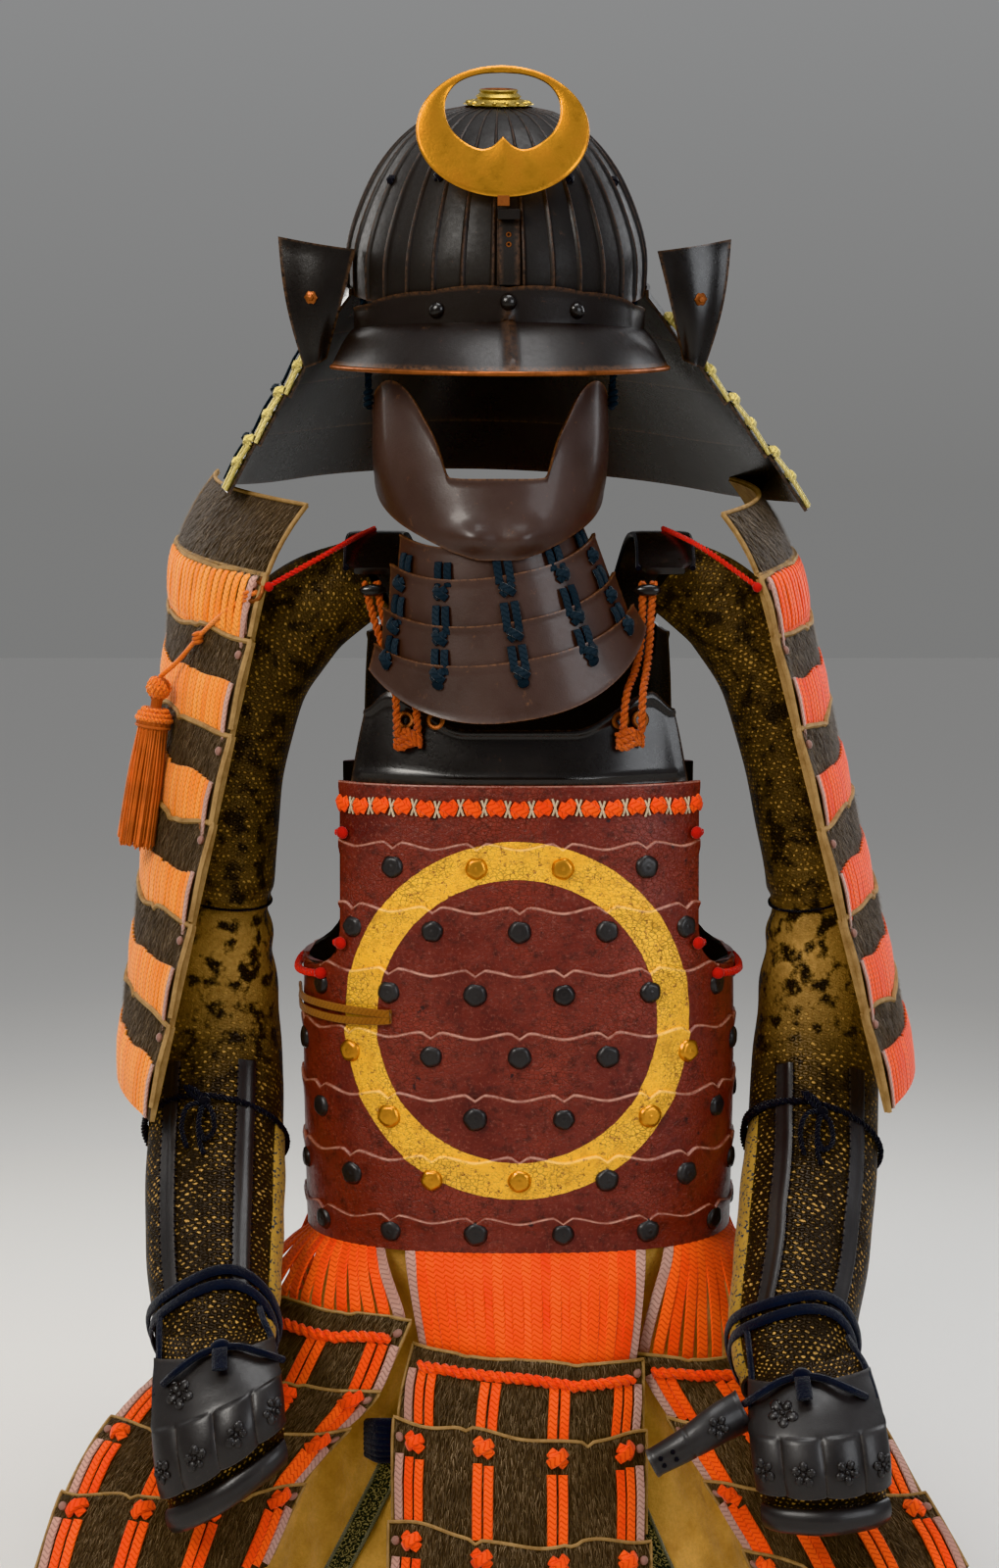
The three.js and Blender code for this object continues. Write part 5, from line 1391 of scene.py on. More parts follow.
# hem from and to, then the middle of each lame's top edge and the last one's bottom:
# k, x, y, z, azimuth, half width, roll
FRONT_TASSETS = {
    "front": ((-27, 31), [
        [0, 7, -158, -642, 0, 96, 4], [1, 1, -180, -695, 0, 104, 4.5], [2, 0, -206, -770, 0, 107, 4.5],
        [3, 0, -228, -842, 0, 110, 4], [4, 0, -248, -909, 0, 112, 3],
    ]),
    "front_left": ((-82, -31), [
        [0, -168, -116, -608, -34, 88, 3], [1, -204, -138, -666, -22, 96, 1], [2, -232, -172, -697, -6, 101, 0],
        [3, -259, -212, -734, 4, 98, 0], [4, -280, -256, -788, 8, 97, 0],
    ]),
    "front_right": ((35, 84), [
        [0, 176, -118.2, -652, 16, 88, 3], [1, 205, -149, -698, 6, 90, 3], [2, 230, -188, -742, -4, 91, 3],
        [3, 257, -232, -784, -8, 92, 2], [4, 280, -274, -836, -10, 93, 0],
    ]),
}
# azimuth, hem from and to, flare, drop
PLAIN_TASSETS = {
    "side_left": (-106, (-129, -93), 20, 68), "side_right": (108, (95, 131), 20, 68),
    "back_left": (-155, (-176, -134), 13, 76), "back_right": (155, (134, 176), 13, 76),
}


def plain_rows(azimuth, span, flare, drop):
    out = np.array([math.sin(rad(azimuth)), -math.cos(rad(azimuth)), 0])
    middle = torso(np.float64(rad(sum(span) / 2)), np.float64(HEM))
    rows = []
    for k, depth in enumerate((0, 50, 118, 186, 250)):
        p = middle + out * (drop + depth) * math.sin(rad(flare))
        rows.append([k, p[0], p[1], p[2] - drop - depth * math.cos(rad(flare)), azimuth, 82, 0])
    return rows


def tasset_face(rows):
    rows = np.array(rows, float)

    def face(t, v):
        x, y, z, azimuth, half, roll = (along(rows, k, np.clip(v, 0, 4)) for k in range(1, 7))
        past = np.clip(v - 4, 0, 1)
        s, c = np.sin(np.radians(azimuth)), np.cos(np.radians(azimuth))
        radius = half / 0.6
        aside, back = radius * np.sin(t * 0.6), radius * (1 - np.cos(t * 0.6))
        height = z - np.sin(np.radians(roll)) * aside - 40 * past
        return vec(x + c * aside - s * back, y + s * aside + c * back, height)

    return face


GUARD_DEPTHS = np.array([[k, d] for k, d in enumerate((0, 50, 124, 201, 280, 358, 443))], float)
GUARDS = {
    "left": dict(side=-1, x=-270, y=22, z=-14, azimuth=-68, twist=-14, lean=8.7),
    "right": dict(side=1, x=226, y=22, z=-14, azimuth=84, twist=0, lean=14),
}


def guard_surface(guard, t, depth):
    side = guard["side"]
    turn = np.radians(guard["azimuth"]) + math.pi / 180 * guard["twist"] * np.maximum(0, depth) / 443
    radius = 127 / 0.42
    aside, back = radius * np.sin(t * 0.42), radius * (1 - np.cos(t * 0.42))
    slope = side * depth * math.sin(rad(guard["lean"]))
    x = guard["x"] + np.cos(turn) * aside - np.sin(turn) * back + slope
    y = guard["y"] + np.sin(turn) * aside + np.cos(turn) * back
    return vec(x, y, guard["z"] - depth * math.cos(rad(guard["lean"])) + side * 14 * t)


def guard_face(guard):
    return lambda t, v: guard_surface(guard, t, along(GUARD_DEPTHS, 1, v))


def lame_edge(t, seed):
    """The wavy top edge of a furred lame: how far it dips, as a share of the lame."""
    wave = 0.035 * np.sin(5.2 * t + seed) + 0.02 * np.sin(9.7 * t + 2.3 * seed)
    for place in (-0.42 + 0.1 * math.sin(seed), 0.4 + 0.1 * math.cos(seed)):
        wave = wave + 0.05 * np.clip(1 - np.abs(t - place) / 0.05, 0, 1)
    return wave + 0.03


def furred_lames(face, count, plan, laces, hairs, body, seed):
    """Lames of short-haired hide bound with soft leather, each lapping over the foot of the one above."""
    ts = np.linspace(-1, 1, 45)
    for k in range(count):
        seed += 1.7

        def lame(t, s, k=k, seed=seed):
            top = k + lame_edge(t, seed) * (1 if k else 0.6)
            low = k + 1 + (0.16 if k < count - 1 else -0.01)
            return face(t * mix(1, 0.985, s), mix(top, low, s))

        def lift(t, s, k=k):
            start = 3.4 if k else 2.2
            curl = 0.9 * np.sin(5 * t + seed) * (1 - s) * 0.5
            flare = plan["flare"] * smooth((np.abs(t) - 0.84) / 0.16) * smooth(s / 0.5)
            return start * (1 - smooth(s / 0.95)) + curl + flare - 1.4 * smooth((s - 0.82) / 0.18)

        rows = [0, 0.03, 0.1, 0.25, 0.4, 0.55, 0.7, 0.85, 1]
        top = wall(body, lame, ts, rows, 2.2, lift, True, slots=(0, 1, 1))
        binding = np.concatenate([top[0, 8:0:-1], top[:, 0], top[-1, 1:8]])
        tube(body, binding, plan["edge"], 6, 1)
        hairy = (0.02, plan["hairy"])
        fur(
            hairs, lame, (-0.985, 0.985), hairy, plan["hairs"], 8, 0.75, True, 0.35,
            raise_by=lambda u, v: lift(u, v) + 0.1,
        )
        fur(
            hairs, lame, (-0.97, 0.97), (0.0, 0.05), plan["hairs"] // 8, 6, 0.7, True, 0.8,
            raise_by=lambda u, v: lift(u, v) + 0.6,
        )

        def shown(t, s, lame=lame, lift=lift):
            p, _, _, n = frame_at(lame, t, s, True)
            return p + n * np.asarray(lift(t, s))[..., None]

        for place in range(plan["close"]):
            t = -0.96 + 1.92 * (place + 0.5) / plan["close"]
            slot = 1 if place in (0, plan["close"] - 1) else 0
            start = plan["hairy"] + 0.02 * math.sin(11 * t + seed)
            sway = rng.normal(0, 0.8)
            pair(laces, shown, t, start, 0.985, (0,), (slot,), 7.2, 2.6, (0.3, 2.0, 0.4), True, sway)
        dots = [-0.93, 0.93]
        columns = plan["columns"]
        if k == 0 and plan["rope"]:
            t = np.linspace(-0.88, 0.88, 45)
            p, _, dv, n = frame_at(shown, t, np.full(45, 0.24), True)
            twist(laces, p + n * 2.2 + dv * 1.5 * np.sin(4 * t)[:, None], 4.8, 15, 0, 2, 7)
            dots = dots[1:]
        else:
            for t in columns:
                p, x, y, n = spot(shown, t, 0.16, True)
                knot(laces, p + n * 1.4, x, y, n, plan["knot"], 0, rng.uniform(0, 0.4))
        for t in dots:
            p, x, y, n = spot(shown, t, 0.16, True)
            blob(laces, p + n * 1.2, x * 3.8, y * 3.8, n * 2.6, 1, 0, 10, 6)
        end = 0.9 if k < count - 1 else 0.93
        for t in columns:
            sway = rng.normal(0, 1.5) + plan["sway"]
            group = plan["group"]
            outer = abs(t) > 0.7
            reach = [(j - (group - 1) / 2) * plan["gap"] for j in range(group)]
            slots = [0] * group
            if outer:
                reach.append(math.copysign((group + 1) / 2 * plan["gap"], t))
                slots.append(1)
            pair(laces, shown, t, 0.3, end, reach, slots, plan["width"], 2.6, (0.2, 2.0, 0.3), True, sway)


def waist_lacing(name, span, face):
    """Flat braids side by side from inside the hem down behind the first lame."""
    shape = Shape()
    ends = [distance_at(rad(degrees)) for degrees in span]
    count = round(abs(ends[1] - ends[0]) / 8.2)
    pinks = {0: ("front", "front_right"), count - 1: ("front", "front_left")}

    def waist(t):
        return spot(torso, angle_at(mix(*ends, (t + 1) / 2)), HEM)

    for k in range(count):
        t = -0.95 + 1.9 * (k + 0.5) / count
        low, _, _, n = spot(face, t, 0.0, True)
        high, _, _, out = waist(t)
        top = high - out * 4.6 + np.array([0, 0, 7.0])
        sway = np.array([rng.normal(0, 0.3), 0, 0])
        middle = mix(high, low, 0.5) + unit(out + n) * (1.4 + 1.9 * (k % 2)) + sway
        line = spline([
            top, high - out * 1.4, mix(high, low, 0.18) + out * 1.6, middle, low - n * 1.2 + (0, 0, 1.5),
            low - n * 6.2 - (0, 0, 9),
        ], 13)
        flat = mix(out[None], n[None], np.linspace(0, 1, 13)[:, None])
        width = 1.2 * float(np.linalg.norm(high - waist(t + 1.9 / count)[0]))
        slot = 1 if name in pinks.get(k, ()) else 0
        ribbon(shape, line, unit(flat), min(max(width, 6.4), 10.4), 2.8, slot, rng.uniform(0, 0.6), 8)
    shape.stand_for(f"lacing_{name}", "braids", ORANGE, PINK, slot="orange_lacing")


def make_tassets():
    plan = dict(hairs=4500, hairy=0.84, columns=(-0.8, -0.27, 0.27, 0.8), group=2, gap=9.0, width=7.6, knot=17)
    plan.update(rope=True, sway=0, close=0, edge=1.5, flare=0)
    seed = 0.0
    for name in (*FRONT_TASSETS, *PLAIN_TASSETS):
        if name in FRONT_TASSETS:
            span, rows = FRONT_TASSETS[name]
        else:
            azimuth, span, flare, drop = PLAIN_TASSETS[name]
            rows = plain_rows(azimuth, span, flare, drop)
            plan = dict(plan, hairs=3100)
        face = tasset_face(rows)
        seed += 2.9
        body, hairs, laces = Shape(), Shape(), Shape()
        furred_lames(face, 4, plan, laces, hairs, body, seed)
        waist_lacing(name, span, face)
        body.stand_for(f"tasset_{name}", "hide", HIDE, BUFF, slot="fur")
        hairs.make(f"tasset_{name}_hairs", FUR, slot="fur")
        laces.make(f"tasset_{name}_laces", ORANGE, PINK, slot="orange_lacing")


make_tassets()


def make_guards():
    plan = dict(hairs=2800, hairy=0.44, columns=(), group=0, gap=0, width=0, knot=0, rope=False, sway=0)
    plan.update(close=34, edge=2.3, flare=3.5)
    for number, (name, _) in enumerate(SIDES):
        guard = GUARDS[name]
        face = guard_face(guard)
        body, hairs, laces = Shape(), Shape(), Shape()
        silk = FADED if name == "left" else ORANGE
        furred_lames(face, 6, plan, laces, hairs, body, 5.0 + number)
        body.stand_for(f"shoulder_guard_{name}", "hide", HIDE, BUFF, slot="fur")
        hairs.make(f"shoulder_guard_{name}_hairs", FUR, slot="fur")
        height = 63.4 if name == "left" else 55.6
        top, top_hairs = Shape(), Shape()

        def plate(t, v, guard=guard, height=height):
            rise = height * v
            inward = rise * math.sin(rad(30)) * mix(0.6, 1, v)
            p = guard_surface(guard, t, np.zeros_like(t))
            return p + vec(-guard["side"] * inward, 0, 1.0 + rise * math.cos(rad(30)))

        ts = np.linspace(-1, 1, 41)
        vs = [0, 0.04, 0.15, 0.3, 0.5, 0.7, 0.85, 0.96, 1]
        outer = wall(top, plate, ts, vs, 2.6, lambda t, v: 0.3 + 0.6 * np.sin(3 * t) * v, slots=(0, 1, 1))
        around = np.concatenate([outer[:, 0], outer[-1, 1:], outer[-2::-1, -1], outer[0, -2:0:-1]])
        tube(top, around, 1.7, 8, 1)
        fur(
            top_hairs, lambda t, v: plate(t, 1 - v), (-0.97, 0.97), (0.03, 0.97), 3800, 9, 0.8, True,
            raise_by=lambda u, v: np.full_like(u, 0.7),
        )
        top.stand_for(f"shoulder_guard_top_{name}", "hide", HIDE, BUFF, slot="fur")
        top_hairs.make(f"shoulder_guard_top_{name}_hairs", FUR, slot="fur")
        # close lacing from the top plate to the first lame
        for k in range(26):
            t = -0.95 + 1.9 * (k + 0.5) / 26
            p0, _, _, n = spot(face, t, 0.1, True)
            p1 = face(np.float64(t), np.float64(0.95))
            middle = mix(p0, p1, 0.5) + n * (5.2 + rng.uniform(0, 1))
            foot = p1 + n * 0.6 - (0, 0, 3)
            line = spline([p0 - n * 1 + (0, 0, 4), p0 + n * 4.2, middle, p1 + n * 3.0, foot], 12)
            slot = 1 if k in (0, 25) else 0
            ribbon(laces, line, np.repeat(n[None], 12, 0), 7.4, 2.6, slot, rng.uniform(0, 0.6))
        laces.make(f"shoulder_guard_{name}_laces", silk, PINK, slot="orange_lacing")


make_guards()

# Sleeves and hands

SLEEVES = {
    "left": [
        [0, -121, 4, -28.3, 32, 40], [1, -178, 6, -62, 42, 52], [2, -214, 8, -112, 42, 54],
        [3, -233, 10, -190, 39, 50], [4, -240, 12, -280, 37, 46], [5, -243, 14, -300, 35, 44],
        [6, -249, 18, -350, 45, 50], [7, -252, 14, -425, 54, 54], [8, -250, -32, -492, 56, 52],
        [9, -245, -100, -553, 55, 50], [10, -239, -158, -602, 50, 45], [11, -235, -198, -634, 42, 37],
    ],
    "right": [
        [0, 121, 4, -26.2, 32, 40], [1, 172, 6, -62, 39, 52], [2, 201, 8, -112, 36, 54],
        [3, 224, 10, -190, 36, 50], [4, 241, 12, -280, 35, 46], [5, 245, 14, -300, 34, 44],
        [6, 249, 18, -350, 44, 50], [7, 249, 14, -425, 52, 54], [8, 242, -32, -498, 54, 52],
        [9, 228, -100, -564, 54, 50], [10, 215, -158, -617, 50, 45], [11, 213, -198, -652, 42, 37],
    ],
}  # place along the arm, centre x, y and z, half width across, half depth


def sleeve_face(rows):
    rows = np.array(rows, float)
    line = spline(rows[:, 1:4], 2201)
    places = np.linspace(0, 11, 2201)

    def centre(v):
        return np.stack([np.interp(v, places, line[:, k]) for k in range(3)], -1)

    def face(angle, v):
        v = np.clip(v, 0, 11)
        along_arm = unit(centre(v + 0.02) - centre(v - 0.02))
        side = unit(vec(-along_arm[..., 2], 0, along_arm[..., 0]))
        top = unit(np.cross(along_arm, side))
        wide, deep = along(rows, 4, v)[..., None], along(rows, 5, v)[..., None]
        return centre(v) - side * wide * np.sin(angle)[..., None] + top * deep * np.cos(angle)[..., None]

    return face


def cut_size(face, us, vs):
    """Greatest width, greatest length and area of a surface, in metres."""
    p = face(*np.meshgrid(us, vs, indexing="ij")) * MM
    across = np.linalg.norm(np.diff(p, axis=0), axis=-1)
    down = np.linalg.norm(np.diff(p, axis=1), axis=-1)
    area = float((across[:, 1:] * down[1:]).sum())
    return (float(across.sum(0).max()), float(down.sum(1).max())), area


def state_sheet(face, us, vs):
    flat, area = cut_size(face, us, vs)


def raised(face, lift, flip=False):
    def lifted(u, v):
        p, _, _, n = frame_at(face, u, v, flip)
        return p + n * lift

    return lifted


def wrapped(shape, face, at, radius, lift, turns=(-math.pi, math.pi), pitch=8, slot=0, count=60):
    """A cord laid round a sleeve: at gives its place along the arm for each angle."""
    angle = np.linspace(*turns, count)
    p, _, _, n = frame_at(face, angle, at(angle))
    twist(shape, p + n * lift, radius, pitch, slot)


def make_sleeves():
    angles = np.linspace(-math.pi, math.pi, 73)
    places = np.linspace(0, 11, 133)
    for name, sign in SIDES:
        face = sleeve_face(SLEEVES[name])
        inner = sign
        shape = Shape()

        def relief(a, v):
            crease = 1.5 * np.sin(8.5 * v + 1.5 * np.sin(2 * a + 1)) * np.exp(-(((v - 5.4) / 1.3) ** 2))
            soft = 0.7 * np.sin(3 * a + 4.1 * v) * np.sin(2.3 * v + a)
            return (crease + soft) * smooth(v / 0.4) * smooth((11 - v) / 0.5)

        def bare(a, v):
            return np.exp(-(((v - 5.7) / 1.25) ** 2)) * (0.6 + 0.4 * np.cos(a - inner * 0.5)) + 0.15 * (v < 4)

        wall(shape, face, angles, places, 2.4, relief, tone=bare, slots=(0, 1, 1), loop=True)
        sleeve = shape.stand_for(f"sleeve_{name}", "mail", MAIL, LINING, slot="mail_on_cloth", weld=True)
        state_sheet(face, angles, places)
        # The two splints of each forearm, with links along their edges
        splints, links = Shape(), Shape()
        for place in (-0.55, 0.6):

            def splint(t, v, place=place, face=face):
                return raised(face, 0.5)(place + 0.14 * t, v)

            def form(t, v):
                rib = 1.5 * smooth((0.9 - np.abs(t + 0.55)) / 0.7) * np.exp(-(((t + 0.55) / 0.5) ** 2))
                return 1.2 + rib + 0.5 * smooth((0.06 - (v - 7.4)) / 0.06)

            def worn(t, v):
                return np.abs(t) ** 12 * 0.8

            wall(splints, splint, np.linspace(-1, 1, 15), np.linspace(7.4, 10.15, 40), 0.3, form, tone=worn)
            for edge in (-1, 1):
                for v in np.linspace(7.5, 10.1, 34):
                    p, x, y, n = spot(splint, edge * 1.05, v)
                    blob(links, p + n * 1.2, x * 1.5, y * 1.0, n * 1.0, 0, 0, 8, 4)
        splints.make(f"splints_{name}", HAND_BLACK, slot="hand_lacquer")
        links.make(f"splint_links_{name}", INK, slot="black_lacquer")
        # The puffed printed edging on the inside of the forearm
        edging = Shape()

        def strip(t, v, face=face, inner=inner):
            return face(inner * (1.33 + 0.2 * t), v)

        def puff(t, v):
            swell = 0.6 + 3.4 * np.sqrt(np.clip(1 - t**2, 0, 1)) * (0.8 + 0.2 * np.sin(9 * v))
            return swell * smooth((v - 7.9) / 0.25) * smooth((10.98 - v) / 0.2)

        wall(edging, strip, np.linspace(-1, 1, 15), np.linspace(7.9, 10.98, 60), 0.1, puff, inner < 0)
        edging.make(f"sleeve_edging_{name}", OCHRE, slot="tan_cloth")
        # The cord round the forearm with its bow, and the thin tie above the elbow
        cords = Shape()
        wrapped(cords, face, lambda a: 7.95 - 0.12 * np.sin(a + 0.5), 2.6, 2.8, pitch=8)
        wrapped(cords, face, lambda a: 8.02 - 0.16 * np.sin(a + 0.9), 2.6, 3.4, (-0.3, 2.6), 8, count=30)
        wrapped(cords, face, lambda a: 4.9 + 0.06 * np.sin(a), 1.4, 1.6, pitch=5)
        p, x, y, n = spot(face, 0.05, 7.98)
        blob(cords, p + n * 5, x * 6, y * 5, n * 5, 0, 0, 12, 8)
        for points in (
            [(0, 0, 5), (-7, 10, 9), (-9, 28, 8), (-2, 34, 7), (3, 22, 8), (2, 6, 7)],
            [(1, 0, 6), (12, 6, 11), (17, 22, 9), (13, 40, 6)],
            [(-1, 1, 6), (6, -9, 10), (15, -14, 8), (8, -5, 8), (2, 1, 6)],
            [(0, 2, 6), (3, 18, 9), (2, 38, 6), (-1, 46, 5)],
        ):
            line = np.array([p + x * a + y * b + n * c for a, b, c in points])
            twist(cords, spline(line, 30), 2.4, 7)
        cords.make(f"forearm_cords_{name}", INK, slot="black_lacquer")
        ties = Shape()
        angle = np.linspace(-math.pi, math.pi, 60)
        for lift, drop in ((2.4, 0.0), (3.6, 0.2)):
            at = 10.45 - drop - 0.28 * np.cos(angle) + 0.08 * np.sin(3 * angle)
            q, _, _, m = frame_at(face, angle, at)
            ribbon(ties, q + m * lift, m, 9, 3.4, 0, 0.1, 10, 0.9)
        ties.make(f"wrist_ties_{name}", NAVY_CLOTH, slot="navy_cord")


HAND_PROFILE = np.array([
    [0, 0, 0, 41], [1, 24, 15, 46], [2, 46, 36, 49], [3, 59, 60, 50], [4, 61, 78, 49], [5, 55, 88, 48],
    [6, 52, 95, 47], [7, 55, 106, 46], [8, 45, 118, 44],
], float)  # place, out, down, half width
HANDS = {"left": ((-234, -224, -602), -7, 0.5), "right": ((219, -228, -621), -6, -0.06)}


def hand_face(wrist, turn, slant):
    m = turned("y", turn, wrist)

    def face(u, v):
        out, down, half = (along(HAND_PROFILE, k, v) for k in (1, 2, 3))
        radius = half / math.sin(1.15)
        x = radius * np.sin(u * 1.15)
        tilt = slant * x * smooth(v / 4)
        return moved(vec(x, -out + radius * 0.8 * (1 - np.cos(u * 1.15)), tilt - down), m)

    return face


def flower(shape, p, x, y, n, size, slot=0, turn=0.3):
    """A plain five-petalled flower standing a little out of its plate."""
    for k in range(5):
        a = turn + k * 2 * math.pi / 5
        out = x * math.cos(a) + y * math.sin(a)
        side = np.cross(n, out)
        petal = p + out * size * 0.62
        blob(shape, petal, out * size * 0.4, side * size * 0.34, n * size * 0.16, slot, 0, 12, 7)
        for t in (-0.4, 0.4):
            q = p + (out * math.cos(t) + side * math.sin(t)) * size * 0.62 + n * size * 0.13
            blob(shape, q, out * size * 0.13, side * size * 0.1, n * size * 0.1, slot, 0, 6, 5)
    blob(shape, p, x * size * 0.2, y * size * 0.2, n * size * 0.2, slot, 0, 10, 7)


def make_hands():
    for name, sign in SIDES:
        face = hand_face(*HANDS[name])
        lining = Shape()
        us, vs = np.linspace(-1, 1, 41), np.linspace(0, 8, 65)
        wall(lining, face, us, vs, 2.4, lambda u, v: 0.3 * np.sin(5 * v) * np.cos(2 * u), True, slots=(0, 1, 1))
        piece = lining.stand_for(f"hand_lining_{name}", "mail", MAIL, LINING, slot="mail_on_cloth")
        state_sheet(face, us, vs)
        plate = Shape()
        shell = raised(face, 3.7, True)

        def fingers(u, v):
            lobe = 3 * np.abs(np.sin((u + 0.96) / 1.92 * 4 * math.pi)) ** 0.55
            step = smooth((v - 2.28) / 0.1)
            rim = 0.8 * smooth((0.96 - v) / 0.12) + 0.6 * smooth((v - 4.2) / 0.08) * step
            return lobe * step + 0.9 * (1 - step) * smooth((v - 2.0) / 0.2) + rim

        def worn(u, v):
            seam = np.exp(-((np.abs(np.sin((u + 0.96) / 1.92 * 4 * math.pi)) / 0.1) ** 2)) * (v > 2.35)
            return 0.5 * seam + 0.8 * smooth((v - 4.24) / 0.05) + 0.5 * smooth((0.86 - v) / 0.05)

        back, lobes = np.linspace(1.2, 2.2, 7), np.linspace(2.5, 4.1, 9)
        rows = np.array([0.8, 0.83, 0.9, 1.0, *back, 2.26, 2.3, 2.34, 2.4, *lobes, 4.18, 4.24, 4.3])
        wall(plate, shell, np.linspace(-0.96, 0.96, 81), rows, 2.1, fingers, True, tone=worn)

        def on_plate(u, v, shell=shell):
            p, x, y, n = spot(shell, u, v, True)
            return p + n * float(fingers(np.float64(u), np.float64(v))), x, y, n

        flower(plate, *on_plate(-0.42, 1.65), 12)
        for u in (-0.72, -0.24, 0.24, 0.72):
            flower(plate, *on_plate(u, 3.3), 9.5, 0, u)
        plate.stand_for(f"hand_plate_{name}", "lacquered", HAND_BLACK, slot="hand_lacquer")
        roll = Shape()
        rows = np.array([6.2, 6.22, 6.3, *np.linspace(6.4, 7.6, 14), 7.7, 7.77, 7.8])

        def bulge(u, v):
            t = np.clip((v - 6.2) / 1.6, 0, 1)
            return 4.2 * np.sqrt(np.clip(1 - (2 * t - 1) ** 2, 0, 1)) * (0.9 + 0.1 * np.cos(u * 9))

        wall(roll, raised(face, 3.4, True), np.linspace(-0.9, 0.9, 61), rows, 2.1, bulge, True)
        roll.stand_for(f"finger_roll_{name}", "lacquered", HAND_BLACK, slot="hand_lacquer")
        # The strings that hold the hand guard at the wrist
        strings = Shape()
        for side in (-1, 1):
            edge = [face(np.float64(side * 0.97), np.float64(v)) for v in (1.6, 0.6)]
            sleeve = sleeve_face(SLEEVES[name])
            top = sleeve(np.float64(-side * 0.9), np.float64(10.4)) + (side * 2.0, -3, 2)
            middle = mix(edge[1], top, 0.6) + (0, -5, 0)
            line = spline([edge[0] + (0, -4, 0), edge[1] + (0, -5, 0), middle, top], 24)
            tube(strings, line, 2.6, 8)
        p, x, y, n = spot(shell, 0.12 * -sign, 0.72, True)
        blob(strings, p + n * 5, x * 8, y * 6, n * 6, 0, 0, 14, 8)
        line = spline([p + n * 6, p + n * 8 + y * 8, p + n * 7 + y * 24], 16)
        ribbon(strings, line, np.repeat(n[None], 16, 0), 12, 4, 0, 0.2, 10, 0.9)
        for side in (-1, 1):
            line = spline([
                p + n * 5, p + n * 5 + x * side * 16 + y * 4, p + n * 1 + x * side * 34 + y * 12,
                p - n * 12 + x * side * 46 + y * 10,
            ], 24)
            tube(strings, line, 3.0, 8)
        strings.make(f"hand_strings_{name}", NAVY_CLOTH, slot="navy_cord")


def make_thumb():
    shape = Shape()
    line = spline([(170.6, -236, -654), (149, -250, -661), (124, -257, -675), (99, -256, -690)], 301)
    places = np.linspace(0, 1, 301)

    def face(a, v):
        size = 17 - 5.5 * v + 0.8 * np.sin(math.pi * np.clip(v / 0.62, 0, 1))
        at = np.stack([np.interp(v, places, line[:, k]) for k in range(3)], -1)
        return at + vec(-0.45 * size * np.sin(a), -size * np.cos(a), 0.9 * size * np.sin(a))

    def relief(a, v):
        ends = 0.8 * smooth((0.05 - v) / 0.04) + 0.8 * smooth((v - 0.95) / 0.04)
        return ends - 0.6 * np.exp(-(((v - 0.62) / 0.012) ** 2))

    def worn(a, v):
        return smooth((v - 0.965) / 0.03) + smooth((np.abs(a) - 1.24) / 0.05)

    wall(shape, face, np.linspace(-1.3, 1.3, 33), np.linspace(0, 1, 81), 2.1, relief, tone=worn)
    p, x, y, n = spot(face, 0.1, 0.33)
    flower(shape, p, x, y, n, 9)
    for a, v in ((-0.25, 0.78), (0.25, 0.78), (-0.25, 0.9), (0.25, 0.9)):
        p, x, y, n = spot(face, a, v)
        lathe(shape, p, x, y, n, [(1.9, -0.2), (1.9, 0.6), (1, 0.9), (0.05, 0.9)], 1, 12)
    shape.stand_for("thumb_plate_right", "lacquered", HAND_BLACK, INK, slot="hand_lacquer")


make_sleeves()
make_hands()
make_thumb()

# Thigh guard

THIGH = np.array([
    [-880, 262, 188], [-800, 232, 166], [-740, 208, 145], [-670, 184, 124], [-600, 168, 115],
    [HEM, 171.2, 123.9], [-540, 171.2, 123.9],
], float)  # height, half width, front


def thigh_face(sign):
    def face(t, z):
        fall = (-540 - z) / 340
        start = 5 + (24 * np.maximum(0, fall - 0.45) if sign > 0 else 0)
        puff = 3 * np.sin(t * 9) * smooth(fall * 3)
        angle = np.radians(mix(start, 86, t)) * sign
        x, y = ring(angle, along(THIGH, 1, z) + puff, along(THIGH, 2, z) + puff, 60, 2.4)
        return vec(x, y, z)

    return face


